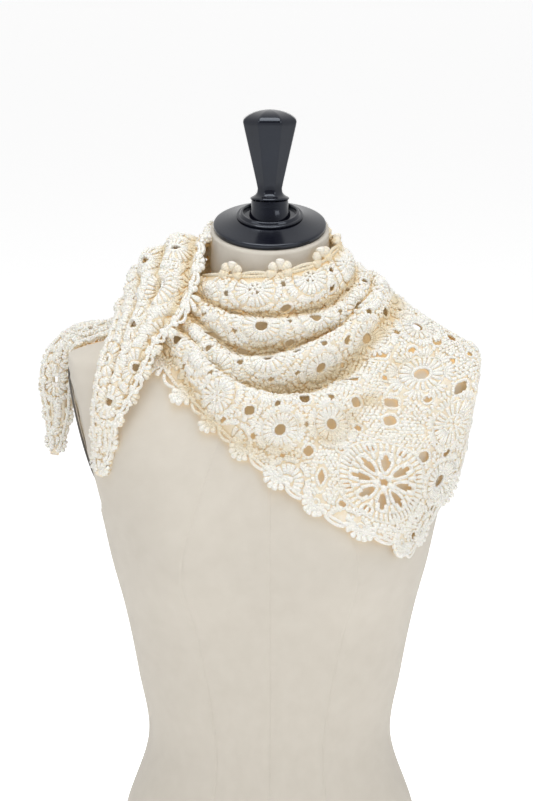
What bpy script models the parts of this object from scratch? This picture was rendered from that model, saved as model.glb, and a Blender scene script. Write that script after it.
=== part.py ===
# Crocheted lace shawl, wound round the neck of a dress form and crossed over on one shoulder.
# Metres, +Z up, the form faces -Y. The origin is the centre of the form's flat underside.
# Azimuths run from the side where the shawl is crossed (-X, 0 degrees) through the front (-Y, 90),
# the other shoulder (+X, 180) and the back (+Y, 270).
import math

import bpy
import numpy as np
from mathutils import Vector
from mathutils.bvhtree import BVHTree
from mathutils.geometry import delaunay_2d_cdt

MM = 0.001
SEAM_GAP = 0.3 * MM          # clearance between pieces that meet
CLOTH = 2.6 * MM             # thickness of the crocheted wall
CLOTH_CLEARANCE = 2.3 * MM   # least distance from the form to the middle of the wall
OVERLAP_STEP = 4.6 * MM      # distance between the middles of two walls that lie on each other
REST_STEP = 2.6 * MM         # distance from the form to the middle of a wall that lies on it
SHOULDER_EASE = 1.6 * MM     # more room where the cape starts, over the shoulder's front edge

# The form: height, half width, front and back depth, squareness, all in millimetres but the last.
FORM_SECTIONS = (
    ("underside", 16.3, 152, 99, 106, 2.2),
    ("hip", 50, 161, 106, 118, 2.3),
    ("high hip", 110, 152, 103, 112, 2.25),
    ("belly", 162, 138, 98, 101, 2.2),
    ("waist", 235, 116, 86, 86, 2.1),
    ("lower ribs", 300, 125, 94, 90, 2.15),
    ("ribs", 366, 137, 108, 94, 2.25),
    ("under bust", 415, 149, 120, 99, 2.3),
    ("bust", 450, 156, 120, 103, 2.4),
    ("below armhole", 472, 161, 116.5, 105, 2.45),
    ("chest", 483, 164, 114, 106, 2.5),
    ("armhole", 527, 176, 100, 107, 2.6),
    ("shoulder blade", 565, 186, 82, 102, 2.6),
    ("below shoulder", 590, 191, 70, 94, 2.5),
    ("shoulder tip", 603, 186, 64, 86, 2.3),
    ("outer shoulder", 614, 156, 61, 80, 2.1),
    ("mid shoulder", 630, 112, 58, 71, 2.0),
    ("neck point", 646, 72, 56, 63, 2.0),
    ("neck base", 660, 57, 55, 57, 2.0),
    ("mid neck", 690, 54.5, 54.5, 54.5, 2.0),
    ("neck top", 720, 54, 54, 54, 2.0),
)
FORM_AROUND = 44
LONG_SPAN = 42 * MM          # sections farther apart than this get one more between them
NECK_LEAN = 16.0             # degrees by which the neck's top faces forward
LEAN_FROM = 600 * MM         # height where the lean begins
BUST_FULLNESS = 13 * MM
BUST_HEIGHT = 432 * MM
BUST_SPREAD = 48 * MM        # up and down
BUST_AZIMUTH = 56.0          # degrees from the side, on both halves of the front
BUST_WIDTH = 17.0            # degrees
BOARD_THICKNESS = 16 * MM
BOARD_INSET = 0.985          # share of the form's own outline

# The flat side that carries each arm plate: height and distance from the middle plane, millimetres.
ARM_SIDE = ((0, 400), (300, 260), (430, 171), (472, 155.2), (483, 157.7), (527, 168.2), (565, 177.2), (590, 183.2),
            (603, 186.3), (640, 196))
PLATE_CENTRE = 538 * MM      # height of the arm plate's middle
PLATE_HALF_HEIGHT = 57 * MM
PLATE_HALF_DEPTH = 44 * MM
PLATE_THICKNESS = 2.8 * MM   # from the flat to the plate's face
PLATE_GAP = 0.4 * MM
PLATE_AROUND = 28
PLATE_LEAN = 13.4            # degrees by which the plate faces down
PLATE_COVER = 6.2 * MM       # from the flat to the middle of the cloth over the plate
PLATE_COVER_DEPTH, PLATE_COVER_HEIGHT = 58 * MM, 70 * MM

# The black neck cap and the ring on it, in the neck's leaning frame: height above the neck's top, radius.
CAP_PROFILE = ((0.3, 0), (0.3, 50.2), (0.8, 51.2), (3.6, 51.4), (4.6, 50.6), (7.4, 42.5), (11.5, 31.0), (11.5, 0))
RING_PROFILE = ((11.8, 0), (11.8, 29.6), (12.5, 30.5), (14.2, 30.5), (14.8, 29.6), (14.9, 26.8), (16.2, 26.3),
                (16.7, 25.4), (16.3, 24.2), (13.6, 23.6), (13.6, 0))
# The stem and knob stand upright: height over the floor, radius. The stem's foot follows the leaning ring.
STEM_PROFILE = ((733.2, 0), (733.2, 18.8), (736.5, 17.9), (741.0, 17.0), (746.4, 16.6), (746.4, 0))
KNOB_PROFILE = ((746.7, 0), (746.7, 16.4), (747.4, 17.7), (748.6, 17.7), (750.4, 14.2), (753.0, 12.0), (757.0, 11.4),
                (817.0, 25.6), (818.2, 25.8), (822.4, 20.6), (826.4, 12.0), (828.6, 0))
KNOB_AXIS = (0.0, -4.4)      # millimetres
TURNED_AROUND = 32
STEM_AROUND = 20
KNOB_AROUND = 16

# The shawl round the neck. A row for each fold line, from the neck edge down: C is a crest, V a valley.
# Columns are the azimuths of CAPE_AZIMUTHS. Distances from the neck's axis, then heights, millimetres.
CAPE_AZIMUTHS = (25, 45, 65, 90, 115, 140, 160, 180, 210, 245, 285, 335)
FOLD_RADII = {
    "edge": (66, 65, 64, 64, 64, 63, 62, 62, 63, 66, 66, 66),
    "C1": (72, 74, 75, 75, 76, 75, 74, 74, 76, 78, 77, 74),
    "V1": (74, 72, 68, 66, 68, 72, 76, 78, 80, 80, 78, 78),
    "C2": (82, 83, 82, 81, 83, 85, 88, 88, 90, 92, 90, 88),
    "V2": (82, 79, 72, 70, 74, 82, 90, 92, 92, 92, 88, 86),
    "C3": (92, 92, 90, 90, 94, 98, 102, 102, 104, 104, 100, 98),
    "V3": (94, 90, 85, 81, 84, 98, 110, 114, 112, 106, 100, 98),
    "C4": (105, 104, 105, 104, 108, 116, 124, 128, 122, 116, 110, 108),
}
FOLD_HEIGHTS = {
    "edge": (680, 684, 684, 686, 690, 696, 701, 703, 706, 706, 703, 698),
    "C1": (674, 670, 669, 668, 672, 680, 688, 692, 696, 694, 692, 690),
    "V1": (664, 657, 651, 648, 650, 657, 669, 677, 684, 680, 678, 680),
    "C2": (662, 655, 649, 646, 647, 654, 667, 676, 682, 678, 676, 678),
    "V2": (651, 635, 617, 615, 624, 638, 656, 665, 672, 668, 664, 669),
    "C3": (651, 635, 615, 614, 626, 644, 662, 671, 672, 666, 661, 665),
    "V3": (641, 621, 596, 580, 582, 604, 638, 652, 655, 645, 639, 651),
    "C4": (641, 624, 600, 583, 582, 598, 628, 643, 648, 638, 632, 648),
}
# The shawl's outer edges over the form: azimuth in degrees, height in millimetres.
HEM = ((25, 615), (29, 610), (40, 588), (56, 566), (71, 543), (88, 520), (104, 496), (118, 473), (134, 455),
       (145, 437), (155, 462), (162, 488), (167, 514), (173, 552), (180, 574), (192, 580), (210, 578), (230, 583),
       (255, 594), (280, 606), (305, 619), (325, 631), (335, 640))
CAPE_START, CAPE_SEAM, CAPE_END = 25.0, 186.0, 335.0
CAPE_STATIONS = 125          # columns of the surface grid
LENGTH_STEP = 2.0 * MM       # rows of the surface grid
NORMAL_EASE = 5              # rounds of smoothing of the wall's directions
BELOW_CREST = (12, 24, 36, 48, 60, 72, 86, 102, 120, 140, 165, 195, 230, 270)   # steps down the lower panel, mm
SOFT_WAVE = 2.6 * MM         # slack in the lower panel
TAUTNESS = (0.5, 0.4, 0.35, 0.3, 0.35, 0.5, 0.9, 1.0, 0.9, 0.7, 0.7, 0.6)   # of the lower panel, by azimuth
HANG_SLOPES = (0.08, 0.08, 0.08, 0.08, 0.10, 0.16, 0.18, 0.18, 0.12, 0.10, 0.10, 0.10)   # of a free edge
FLAT_NECK = 64 * MM          # length of neck edge for one radian, in the flat cloth
FLAT_FAN = (0.42, 0.26, 0.20, 0.20, 0.26, 0.32, 0.46, 0.60, 0.48, 0.32, 0.32, 0.42)   # how it fans out below

# The crocheted motifs, in the flat cloth.
PITCH = 48 * MM              # from the middle of a medallion to the next
EYE = 5.2 * MM               # hole in a medallion's middle
BRIDGE_EYE = 3.7 * MM        # holes between two medallions
CORNER_EYE = 5.4 * MM        # holes between four medallions
# Wide gaps between motifs that show in front: azimuth in degrees, length down the cloth, radius, stretch
# and the turn of the stretch in degrees.
GAPS = ((60, 156, 5.2, 1.2, 60), (112.5, 250, 3.8, 1.8, 20), (122.5, 222, 5.4, 1.1, 80), (142.5, 196, 4.8, 1.2, 0),
        (155, 218, 5.6, 1.3, 40), (137.5, 27, 4.2, 1.2, 90), (37.5, 94, 4.6, 1.2, 45))
# Medallions that show in front: azimuth in degrees, length down the cloth in millimetres.
MEDALLIONS = ((95, 204), (120, 130), (157.5, 160))
MEDALLION_TURN = 33.0        # degrees
BRIDGE_AT = 24 * MM          # from a medallion's middle to the holes round it
CORNER_AT = 34 * MM
STAR_AZIMUTH, STAR_LENGTH = 135.0, 252 * MM   # the open star motif near the corner
STAR_RADIUS = 40 * MM
STAR_PETALS = 8
STAR_EYE = 4.4 * MM
STAR_LOOP, STAR_LOOP_AT = 3.6 * MM, 18 * MM
STAR_GAP, STAR_GAP_AT = 3.8 * MM, 31 * MM
HOLE_SPACING = 3.4 * MM      # least cloth between two holes
LONGEST = 380 * MM           # from the neck edge to the corner
FLOWER_PITCH_HEM = 30 * MM
FLOWER_PITCH_NECK = 38 * MM
FLOWER_HALF = 10.5 * MM
FLOWER_RISE = 10 * MM
FLOWER_RISE_ENDS = 6.5 * MM
EDGE_ROLL = 2.5 * MM
HOLE_MARGIN = 3.4 * MM       # least cloth between a hole and the edge
INNER_STEP_AROUND = math.radians(7.5)
INNER_STEP_BELOW = 11 * MM
END_STEP = 11.5 * MM

# The end that comes over the shoulder to the front, and the one that hangs behind the arm plate.
# A row for each section: middle of the section, half width, arch, pleat depth in millimetres, then the
# direction that faces away from the form.
FRONT_END = (
    (-86, 72, 673, 44, 13, 3.0, -0.42, 0.52, 0.74),
    (-100, 42, 689, 52, 18, 4.0, -0.58, 0.28, 0.76),
    (-109, 9, 692, 53, 22, 4.4, -0.66, 0.00, 0.75),
    (-110, -20, 680, 51, 21, 4.2, -0.64, -0.26, 0.71),
    (-113, -44, 658, 40, 16, 3.2, -0.55, -0.56, 0.60),
    (-124, -59, 634, 24, 9, 2.4, -0.45, -0.80, 0.40),
    (-132, -68, 610, 21, 6, 2.0, -0.40, -0.90, 0.18),
    (-140, -73, 584, 17, 4, 1.4, -0.38, -0.92, 0.08),
    (-148, -73, 558, 12, 3, 0.8, -0.42, -0.90, 0.04),
    (-151, -70, 532, 9, 2, 0.5, -0.48, -0.88, 0.02),
    (-153, -67, 513, 6, 1, 0.3, -0.50, -0.86, 0.00),
    (-154, -66, 503, 4, 0, 0.0, -0.50, -0.86, 0.00),
)
BACK_END = (
    (-96, -10, 646, 17, 3, 1.0, -0.34, -0.10, 0.93),
    (-124, 16, 634, 18, 5, 1.6, -0.34, -0.10, 0.93),
    (-156, 28, 624, 18, 7, 2.2, -0.36, -0.15, 0.92),
    (-184, 40, 614, 17, 5, 1.6, -0.50, -0.42, 0.74),
    (-200, 49, 590, 15, 4, 1.4, -0.36, -0.80, 0.42),
    (-204, 53, 562, 13, 3, 1.4, -0.12, -0.98, 0.10),
    (-203, 54, 536, 10, 2, 1.0, -0.06, -0.99, 0.05),
    (-205, 54, 512, 6, 1, 0.5, -0.06, -0.99, 0.00),
    (-207, 54, 494, 4, 0, 0.0, -0.06, -0.99, 0.00),
)
END_PLEATS = 4
END_EYE = 4.2 * MM
END_EYE_FIRST, END_EYE_PITCH = 16 * MM, 27 * MM
END_EYE_LAST = 22 * MM       # no eyes nearer to the tip than this
END_GAP_AFTER, END_GAP_ASIDE = 13 * MM, 4 * MM   # the small gap beside each eye
WIDE_END = 24 * MM           # two eyes side by side where half the width is more than this
OUTLINE_ROOM, HOLE_ROOM = 3.2 * MM, 2.8 * MM     # inner points keep this far from the edge and the holes
REST_REACH = 70 * MM         # how far above a point its support is looked for
CAPE_TREE_REACH = 200 * MM   # how far down the cape other layers may rest on it


def smooth_rows(keys, values, at):
    """Smooth curve through the rows of a table. The values may have several columns."""
    keys = np.asarray(keys, float)
    values = np.asarray(values, float)
    at = np.atleast_1d(np.asarray(at, float))
    shape = (-1,) + (1,) * (values.ndim - 1)
    step = np.diff(keys).reshape(shape)
    slope = np.diff(values, axis=0) / step
    share = step[:-1] / (step[:-1] + step[1:])
    tangent = np.concatenate([slope[:1], slope[:-1] * (1 - share) + slope[1:] * share, slope[-1:]])
    row = np.clip(np.searchsorted(keys, at, side="right") - 1, 0, len(keys) - 2)
    gap = step[row]
    t = (at - keys[row]).reshape(shape) / gap
    start = (2 * t**3 - 3 * t**2 + 1) * values[row] + (t**3 - 2 * t**2 + t) * gap * tangent[row]
    end = (3 * t**2 - 2 * t**3) * values[row + 1] + (t**3 - t**2) * gap * tangent[row + 1]
    return start + end


def form_radius(azimuth, height):
    """Distance from the form's upright axis to its surface. Azimuth in radians, both arrays of one shape."""
    rows = np.array([row[1:] for row in FORM_SECTIONS], float)
    section = smooth_rows(rows[:, 0] * MM, rows[:, 1:], np.ravel(height))
    half, front, back = (section[:, :3] * MM).T
    square = section[:, 3]
    turn = np.ravel(azimuth)
    across = np.abs(np.cos(turn))
    forward = np.sin(turn)
    depth = np.where(forward > 0, front, back)
    radius = ((across / half) ** square + (np.abs(forward) / depth) ** square) ** (-1 / square)
    side_angle = np.where(forward > 0, np.degrees(np.arctan2(forward, across)), -90)
    beside = np.exp(-(((side_angle - BUST_AZIMUTH) / BUST_WIDTH) ** 2))
    level = np.exp(-(((np.ravel(height) - BUST_HEIGHT) / BUST_SPREAD) ** 2))
    radius = radius + BUST_FULLNESS * beside * level
    plane = np.array(ARM_SIDE, float) * MM
    side = smooth_rows(plane[:, 0], plane[:, 1], np.ravel(height))
    radius = np.minimum(radius, side / np.maximum(across, 1e-6))
    return radius.reshape(np.shape(height))


def leaning_height(azimuth, height, radius):
    """Height after the neck's top has been turned to face forward."""
    neck_top = FORM_SECTIONS[-1][1] * MM
    share = np.clip((height - LEAN_FROM) / (neck_top - LEAN_FROM), 0, 1) ** 1.5
    return height - share * math.tan(math.radians(NECK_LEAN)) * radius * np.sin(azimuth)


def round_to_space(azimuth, radius, height):
    """Points in space from azimuth in radians, distance from the axis and height."""
    return np.stack([-radius * np.cos(azimuth), -radius * np.sin(azimuth), height + 0 * radius], -1)


def colour_material(name, colour, roughness, metallic=0.0):
    material = bpy.data.materials.new(name)
    material.use_nodes = True
    shader = material.node_tree.nodes["Principled BSDF"]
    shader.inputs["Base Color"].default_value = (*colour, 1)
    shader.inputs["Roughness"].default_value = roughness
    shader.inputs["Metallic"].default_value = metallic
    return material


def add_solid(name, points, faces, material):
    """One closed body. The faces are turned outward by the sign of the volume."""
    points = np.asarray(points, float)
    volume = 0.0
    for face in faces:
        first = points[face[0]]
        for second, third in zip(face[1:-1], face[2:]):
            volume += np.dot(first, np.cross(points[second], points[third]))
    if volume < 0:
        faces = [face[::-1] for face in faces]
    mesh = bpy.data.meshes.new(name)
    mesh.from_pydata([tuple(point) for point in points], [], [tuple(face) for face in faces])
    mesh.materials.append(material)
    solid = bpy.data.objects.new(name, mesh)
    bpy.context.collection.objects.link(solid)


def loft_faces(levels, around):
    """Faces of a closed loft with a flat cap on its first and last ring."""
    faces = []
    for level in range(levels - 1):
        for step in range(around):
            beside = (step + 1) % around
            a = level * around + step
            b = level * around + beside
            c = (level + 1) * around + beside
            d = (level + 1) * around + step
            faces.append([a, b, c])
            faces.append([a, c, d])
    faces.append(list(range(around))[::-1])
    faces.append([(levels - 1) * around + step for step in range(around)])
    return faces


def build_form(material):
    """The torso with its neck, cut level underneath and leaning forward on top."""
    heights = np.array([row[1] for row in FORM_SECTIONS], float) * MM
    between = [(low + high) / 2 for low, high in zip(heights, heights[1:]) if high - low > LONG_SPAN]
    levels = np.array(sorted([*heights, *between]))
    azimuth = np.linspace(0, 2 * math.pi, FORM_AROUND, endpoint=False)
    turn, height = np.meshgrid(azimuth, levels)
    radius = form_radius(turn, height)
    points = round_to_space(turn, radius, leaning_height(turn, height, radius))
    faces = loft_faces(len(levels), FORM_AROUND)
    add_solid("torso", points.reshape(-1, 3), faces, material)
    return BVHTree.FromPolygons([tuple(point) for point in points.reshape(-1, 3)], faces)


def build_board(material):
    """The board that closes the form underneath. It stands on the floor."""
    azimuth = np.linspace(0, 2 * math.pi, FORM_AROUND, endpoint=False)
    foot = FORM_SECTIONS[0][1] * MM
    outline = form_radius(azimuth, np.full(FORM_AROUND, foot)) * BOARD_INSET
    edge = 2 * MM
    profile = ((0, 0.985), (edge, 1.0), (BOARD_THICKNESS - edge, 1.0), (BOARD_THICKNESS, 0.99))
    points = [round_to_space(azimuth, outline * share, np.full(FORM_AROUND, height)) for height, share in profile]
    add_solid("base_board", np.concatenate(points), loft_faces(len(profile), FORM_AROUND), material)


def build_plate(name, side, material):
    """The thin oval plate on the flat of an armhole. The side is -1 or 1."""
    lean = math.radians(PLATE_LEAN)
    edge = 0.6 * MM
    plane = np.array(ARM_SIDE, float) * MM
    surface = smooth_rows(plane[:, 0], plane[:, 1], PLATE_CENTRE)[0]
    along = np.array([math.sin(lean), 0, math.cos(lean)])
    outward = np.array([math.cos(lean), 0, -math.sin(lean)])
    centre = np.array([surface, 0, PLATE_CENTRE])
    turn = np.linspace(0, 2 * math.pi, PLATE_AROUND, endpoint=False)
    profile = ((PLATE_GAP, 0.985), (PLATE_GAP + edge, 1.0), (PLATE_THICKNESS - edge, 1.0), (PLATE_THICKNESS, 0.985))
    rings = []
    for rise, share in profile:
        ring = centre + outward * rise
        ring = ring + np.outer(np.sin(turn) * PLATE_HALF_HEIGHT * share, along)
        ring = ring + np.outer(np.cos(turn) * PLATE_HALF_DEPTH * share, (0, 1, 0))
        rings.append(ring * (side, 1, 1))
    add_solid(name, np.concatenate(rings), loft_faces(len(profile), PLATE_AROUND), material)


def build_turned(name, profile, material, sides=TURNED_AROUND, leaning=True, axis=(0.0, 0.0), slant_foot=0.0):
    """A turned piece. A leaning profile stands on the neck's top, an upright one is measured from the floor."""
    lean = math.radians(NECK_LEAN)
    turn = np.linspace(0, 2 * math.pi, sides, endpoint=False)
    neck_top = np.array([0, 0, FORM_SECTIONS[-1][1] * MM])
    rings = []
    for height, radius in profile[1:-1]:
        ring = np.stack([np.cos(turn) * radius, np.sin(turn) * radius, np.full(sides, float(height))], -1) * MM
        if leaning:
            upward = np.array([0, -math.sin(lean), math.cos(lean)])
            backward = np.array([0, math.cos(lean), math.sin(lean)])
            ring = neck_top + ring[:, :1] * (1, 0, 0) + ring[:, 1:2] * backward + ring[:, 2:] * upward
        else:
            ring = ring + np.array([axis[0], axis[1], 0]) * MM
        rings.append(ring)
    if slant_foot:
        rings[0][:, 2] += (rings[0][:, 1] - axis[1] * MM) * math.tan(lean)
        rings[1][:, 2] += (rings[1][:, 1] - axis[1] * MM) * math.tan(lean) * slant_foot
    add_solid(name, np.concatenate(rings), loft_faces(len(rings), sides), material)


def concave_string(drop, radius):
    """Radii of a string pulled tight over the points from the first to the last."""
    kept = [0]
    for index in range(1, len(drop)):
        while len(kept) > 1:
            a, b = kept[-2], kept[-1]
            rise_ab = (radius[b] - radius[a]) * (drop[index] - drop[a])
            rise_ac = (radius[index] - radius[a]) * (drop[b] - drop[a])
            if rise_ab > rise_ac:
                break
            kept.pop()
        kept.append(index)
    return np.interp(drop, drop[kept], radius[kept])


def cape_surface():
    """Grid of the middle of the shawl round the neck, with the length down the cloth at its hem."""
    degrees = np.linspace(CAPE_START, CAPE_END, CAPE_STATIONS)
    azimuth = np.radians(degrees)
    names = list(FOLD_RADII)
    radii = np.array([FOLD_RADII[name] for name in names], float).T * MM
    heights = np.array([FOLD_HEIGHTS[name] for name in names], float).T * MM
    fold_r = smooth_rows(CAPE_AZIMUTHS, radii, degrees)
    fold_z = smooth_rows(CAPE_AZIMUTHS, heights, degrees)
    taut = smooth_rows(CAPE_AZIMUTHS, TAUTNESS, degrees)
    swing = smooth_rows(CAPE_AZIMUTHS, HANG_SLOPES, degrees)
    hem_z = np.interp(degrees, *np.array(HEM, float).T) * MM

    side = np.array(ARM_SIDE, float) * MM
    level = np.arange(0.735, 0.33, -0.001)
    form_level = np.arange(0.712, 0.32, -0.001)
    lower = np.empty((CAPE_STATIONS, len(BELOW_CREST), 2))
    form_r = np.empty((CAPE_STATIONS, len(level)))
    for column, turn in enumerate(azimuth):
        radius = form_radius(np.full(len(form_level), turn), form_level)
        beside = form_radius(np.full(len(form_level), turn + 0.02), form_level)
        height = leaning_height(turn, form_level, radius)
        slope = np.clip(np.gradient(radius, height), -6, 6)
        bend = (beside - radius) / 0.02 / radius
        clear = CLOTH_CLEARANCE + SHOULDER_EASE * math.exp(-(((degrees[column] - CAPE_START) / 12) ** 2))
        radius = radius + clear * np.sqrt(1 + slope**2 + bend**2)
        plate = (np.interp(height, side[:, 0], side[:, 1]) + PLATE_COVER) / max(abs(math.cos(turn)), 1e-6)
        depth = (plate * math.sin(turn) / PLATE_COVER_DEPTH) ** 2
        covered = depth + ((height - PLATE_CENTRE) / PLATE_COVER_HEIGHT) ** 2 < 1
        radius = np.where(covered, np.maximum(radius, plate), radius)
        form_r[column] = np.interp(-level, -height, radius)
        start_r, start_z = fold_r[column, -1], fold_z[column, -1]
        drop = np.arange(0, start_z - 0.335, 0.001)
        line = np.interp(-(start_z - drop), -level, form_r[column])
        line[0] = max(start_r, line[0])
        inward = swing[column] * drop
        hang = np.maximum.accumulate(line + inward) - inward
        last = int(np.clip((start_z - hem_z[column]) / 0.001 - 6, 20, len(drop) - 1))
        tight = hang.copy()
        tight[:last + 1] = concave_string(drop[:last + 1], hang[:last + 1])
        below = drop[last:] - drop[last]
        tight[last:] = np.maximum(hang[last:], tight[last] - swing[column] * below)
        radius = hang + taut[column] * (tight - hang)
        run = np.concatenate([[0], np.cumsum(np.hypot(np.diff(radius), 0.001))])
        at = np.array(BELOW_CREST) * MM
        lower[column, :, 0] = np.interp(at, run, radius)
        lower[column, :, 1] = start_z - np.interp(at, run, drop)
    for _ in range(3):
        padded = np.concatenate([lower[:1], lower, lower[-1:]])
        lower = (padded[:-2] + 2 * padded[1:-1] + padded[2:]) / 4
    ramp = np.clip(np.array(BELOW_CREST) / 60, 0, 1)
    ripple = 0.5 + 0.5 * np.sin(azimuth[:, None] * 7 + np.array(BELOW_CREST) / 31)
    calm = 1 - 0.7 * np.exp(-(((degrees - 178) / 26) ** 2))
    lower[:, :, 0] += SOFT_WAVE * ramp * ripple * calm[:, None]

    rim = np.stack([fold_r[:, 0] - 3 * MM, fold_z[:, 0] + 15 * MM], -1)[:, None]
    folds = np.stack([fold_r, fold_z], -1)
    controls = np.concatenate([rim, folds, lower], 1)
    length = np.arange(-14, 420, LENGTH_STEP / MM) * MM
    grid = np.empty((CAPE_STATIONS, len(length), 2))
    marks = np.empty((CAPE_STATIONS, len(names)))
    hem_length = np.empty(CAPE_STATIONS)
    for column in range(CAPE_STATIONS):
        points = controls[column]
        key = np.concatenate([[0], np.cumsum(np.linalg.norm(np.diff(points, axis=0), axis=1) ** 0.75)])
        dense = smooth_rows(key, points, np.linspace(0, key[-1], 700))
        run = np.concatenate([[0], np.cumsum(np.linalg.norm(np.diff(dense, axis=0), axis=1))])
        edge = np.interp(key[1], np.linspace(0, key[-1], 700), run)
        crest = np.interp(key[len(names)], np.linspace(0, key[-1], 700), run)
        marks[column] = np.interp(key[1:len(names) + 1], np.linspace(0, key[-1], 700), run) - edge
        grid[column, :, 0] = np.interp(length + edge, run, dense[:, 0])
        grid[column, :, 1] = np.interp(length + edge, run, dense[:, 1])
        low = run >= crest
        hem_length[column] = np.interp(-hem_z[column], -dense[low, 1], run[low]) - edge
    points = round_to_space(azimuth[:, None], grid[..., 0], grid[..., 1])
    return {"points": points, "normals": grid_normals(points), "rows": azimuth, "columns": length,
            "hem": hem_length, "marks": marks}


def grid_normals(points):
    """Normals of a grid surface, eased along its columns so that a wall turns gently in a tight fold."""
    normal = np.cross(np.gradient(points, axis=1), np.gradient(points, axis=0))
    normal /= np.maximum(np.linalg.norm(normal, axis=-1, keepdims=True), 1e-12)
    for _ in range(NORMAL_EASE):
        padded = np.concatenate([normal[:, :1], normal, normal[:, -1:]], axis=1)
        normal = (padded[:, :-2] + 2 * padded[:, 1:-1] + padded[:, 2:]) / 4
    return normal / np.maximum(np.linalg.norm(normal, axis=-1, keepdims=True), 1e-12)


def sample_grid(surface, row, column):
    """Points and normals of a grid surface at the given row and column values."""
    i = np.interp(row, surface["rows"], np.arange(len(surface["rows"])))
    j = np.interp(column, surface["columns"], np.arange(len(surface["columns"])))
    i0 = np.clip(i.astype(int), 0, len(surface["rows"]) - 2)
    j0 = np.clip(j.astype(int), 0, len(surface["columns"]) - 2)
    a = (i - i0)[:, None]
    b = (j - j0)[:, None]
    found = []
    for field in ("points", "normals"):
        grid = surface[field]
        near = grid[i0, j0] * (1 - b) + grid[i0, j0 + 1] * b
        far = grid[i0 + 1, j0] * (1 - b) + grid[i0 + 1, j0 + 1] * b
        found.append(near * (1 - a) + far * a)
    points, normals = found
    return points, normals / np.linalg.norm(normals, axis=1, keepdims=True)


def flat_base():
    """The neck edge in the flat cloth, with the direction in which the cloth runs down from it."""
    azimuth = np.radians(np.linspace(0, 360, 721))
    fan = smooth_rows(CAPE_AZIMUTHS, FLAT_FAN, np.clip(np.degrees(azimuth), CAPE_START, CAPE_END))
    step = azimuth[1] - azimuth[0]
    turn = np.concatenate([[0], np.cumsum((fan[1:] + fan[:-1]) / 2 * step)])
    speed = FLAT_NECK * step
    x = np.concatenate([[0], np.cumsum(-np.sin((turn[1:] + turn[:-1]) / 2) * speed)])
    y = np.concatenate([[0], np.cumsum(np.cos((turn[1:] + turn[:-1]) / 2) * speed)])
    return azimuth, turn, x, y


FLAT_BASE = flat_base()


def cape_flat(azimuth, length):
    """Where a point of the cape lies in the flat cloth."""
    rows, turns, x, y = FLAT_BASE
    turn = np.interp(azimuth, rows, turns)
    return np.stack([np.interp(azimuth, rows, x) + length * np.cos(turn),
                     np.interp(azimuth, rows, y) + length * np.sin(turn)], -1)


def cape_round(flat):
    """Azimuth and length down the cloth of points in the flat cloth, by halving."""
    rows, turns, x, y = FLAT_BASE
    low = np.zeros(len(flat))
    high = np.full(len(flat), rows[-1])
    for _ in range(40):
        middle = (low + high) / 2
        turn = np.interp(middle, rows, turns)
        aside = -(flat[:, 0] - np.interp(middle, rows, x)) * np.sin(turn)
        aside = aside + (flat[:, 1] - np.interp(middle, rows, y)) * np.cos(turn)
        low = np.where(aside > 0, middle, low)
        high = np.where(aside > 0, high, middle)
    turn = np.interp(middle, rows, turns)
    length = (flat[:, 0] - np.interp(middle, rows, x)) * np.cos(turn)
    length = length + (flat[:, 1] - np.interp(middle, rows, y)) * np.sin(turn)
    return middle, length


def scalloped(line, pitch, outward, petals=FLOWER_RISE, first=0.5):
    """The edge of the cloth with a flower of petals standing out at each pitch. The line is a flat polyline."""
    run = np.concatenate([[0], np.cumsum(np.linalg.norm(np.diff(line, axis=0), axis=1))])
    count = max(1, int(run[-1] / pitch - 0.1))
    space = run[-1] / count
    across = np.array([-1.0, -0.82, -0.45, 0.0, 0.45, 0.82, 1.0])
    rise = np.array([0.0, 0.62, 0.9, 1.0, 0.9, 0.62, 0.0]) * petals + EDGE_ROLL
    centres = (np.arange(count) + first) * space
    places = (centres[:, None] + across * FLOWER_HALF).ravel()
    rises = np.tile(rise, count)
    places = np.concatenate([[0], places, [run[-1]]])
    rises = np.concatenate([[EDGE_ROLL], rises, [EDGE_ROLL]])
    base = np.stack([np.interp(places, run, line[:, axis]) for axis in (0, 1)], -1)
    ahead = np.stack([np.interp(places + 4e-3, run, line[:, axis]) for axis in (0, 1)], -1)
    behind = np.stack([np.interp(places - 4e-3, run, line[:, axis]) for axis in (0, 1)], -1)
    tangent = ahead - behind
    tangent = tangent / np.linalg.norm(tangent, axis=1, keepdims=True)
    normal = np.stack([tangent[:, 1], -tangent[:, 0]], -1) * outward
    return base + normal * rises[:, None]


def opening(centre, radius, sides, stretch=1.0, turn=0.0):
    """A hole in the lace, as a flat polygon. The stretch is along the turned axis."""
    angle = np.linspace(0, 2 * math.pi, sides, endpoint=False) + math.pi / sides
    x = np.cos(angle) * radius * stretch
    y = np.sin(angle) * radius
    c, s = math.cos(turn), math.sin(turn)
    return np.stack([centre[0] + c * x - s * y, centre[1] + s * x + c * y], -1)


def star_openings(star):
    """Openings of the star motif: its eye, a loop in each petal and a gap between the petals' tips."""
    found = [(star, STAR_EYE, 7, 1.0, 0.0)]
    for petal in range(STAR_PETALS):
        angle = 2 * math.pi * (petal + 0.5) / STAR_PETALS
        ray = np.array([math.cos(angle), math.sin(angle)])
        found.append((star + ray * STAR_LOOP_AT, STAR_LOOP, 6, 1.7, angle))
        angle = 2 * math.pi * petal / STAR_PETALS
        ray = np.array([math.cos(angle), math.sin(angle)])
        found.append((star + ray * STAR_GAP_AT, STAR_GAP, 5, 1.0, angle))
    return found


def medallion_openings(middles):
    """Openings of round medallions: eyes first, then those between two of them, then the corners."""
    found = [(middle, EYE, 6, 1.0, 0.0) for middle in middles]
    for reach, radius, first in ((BRIDGE_AT, BRIDGE_EYE, 0), (CORNER_AT, CORNER_EYE, 45)):
        for middle in middles:
            for quarter in range(4):
                angle = math.radians(MEDALLION_TURN + first + 90 * quarter)
                ray = np.array([math.cos(angle), math.sin(angle)])
                found.append((middle + ray * reach, radius, 5, 1.0, angle))
    return found


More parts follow.
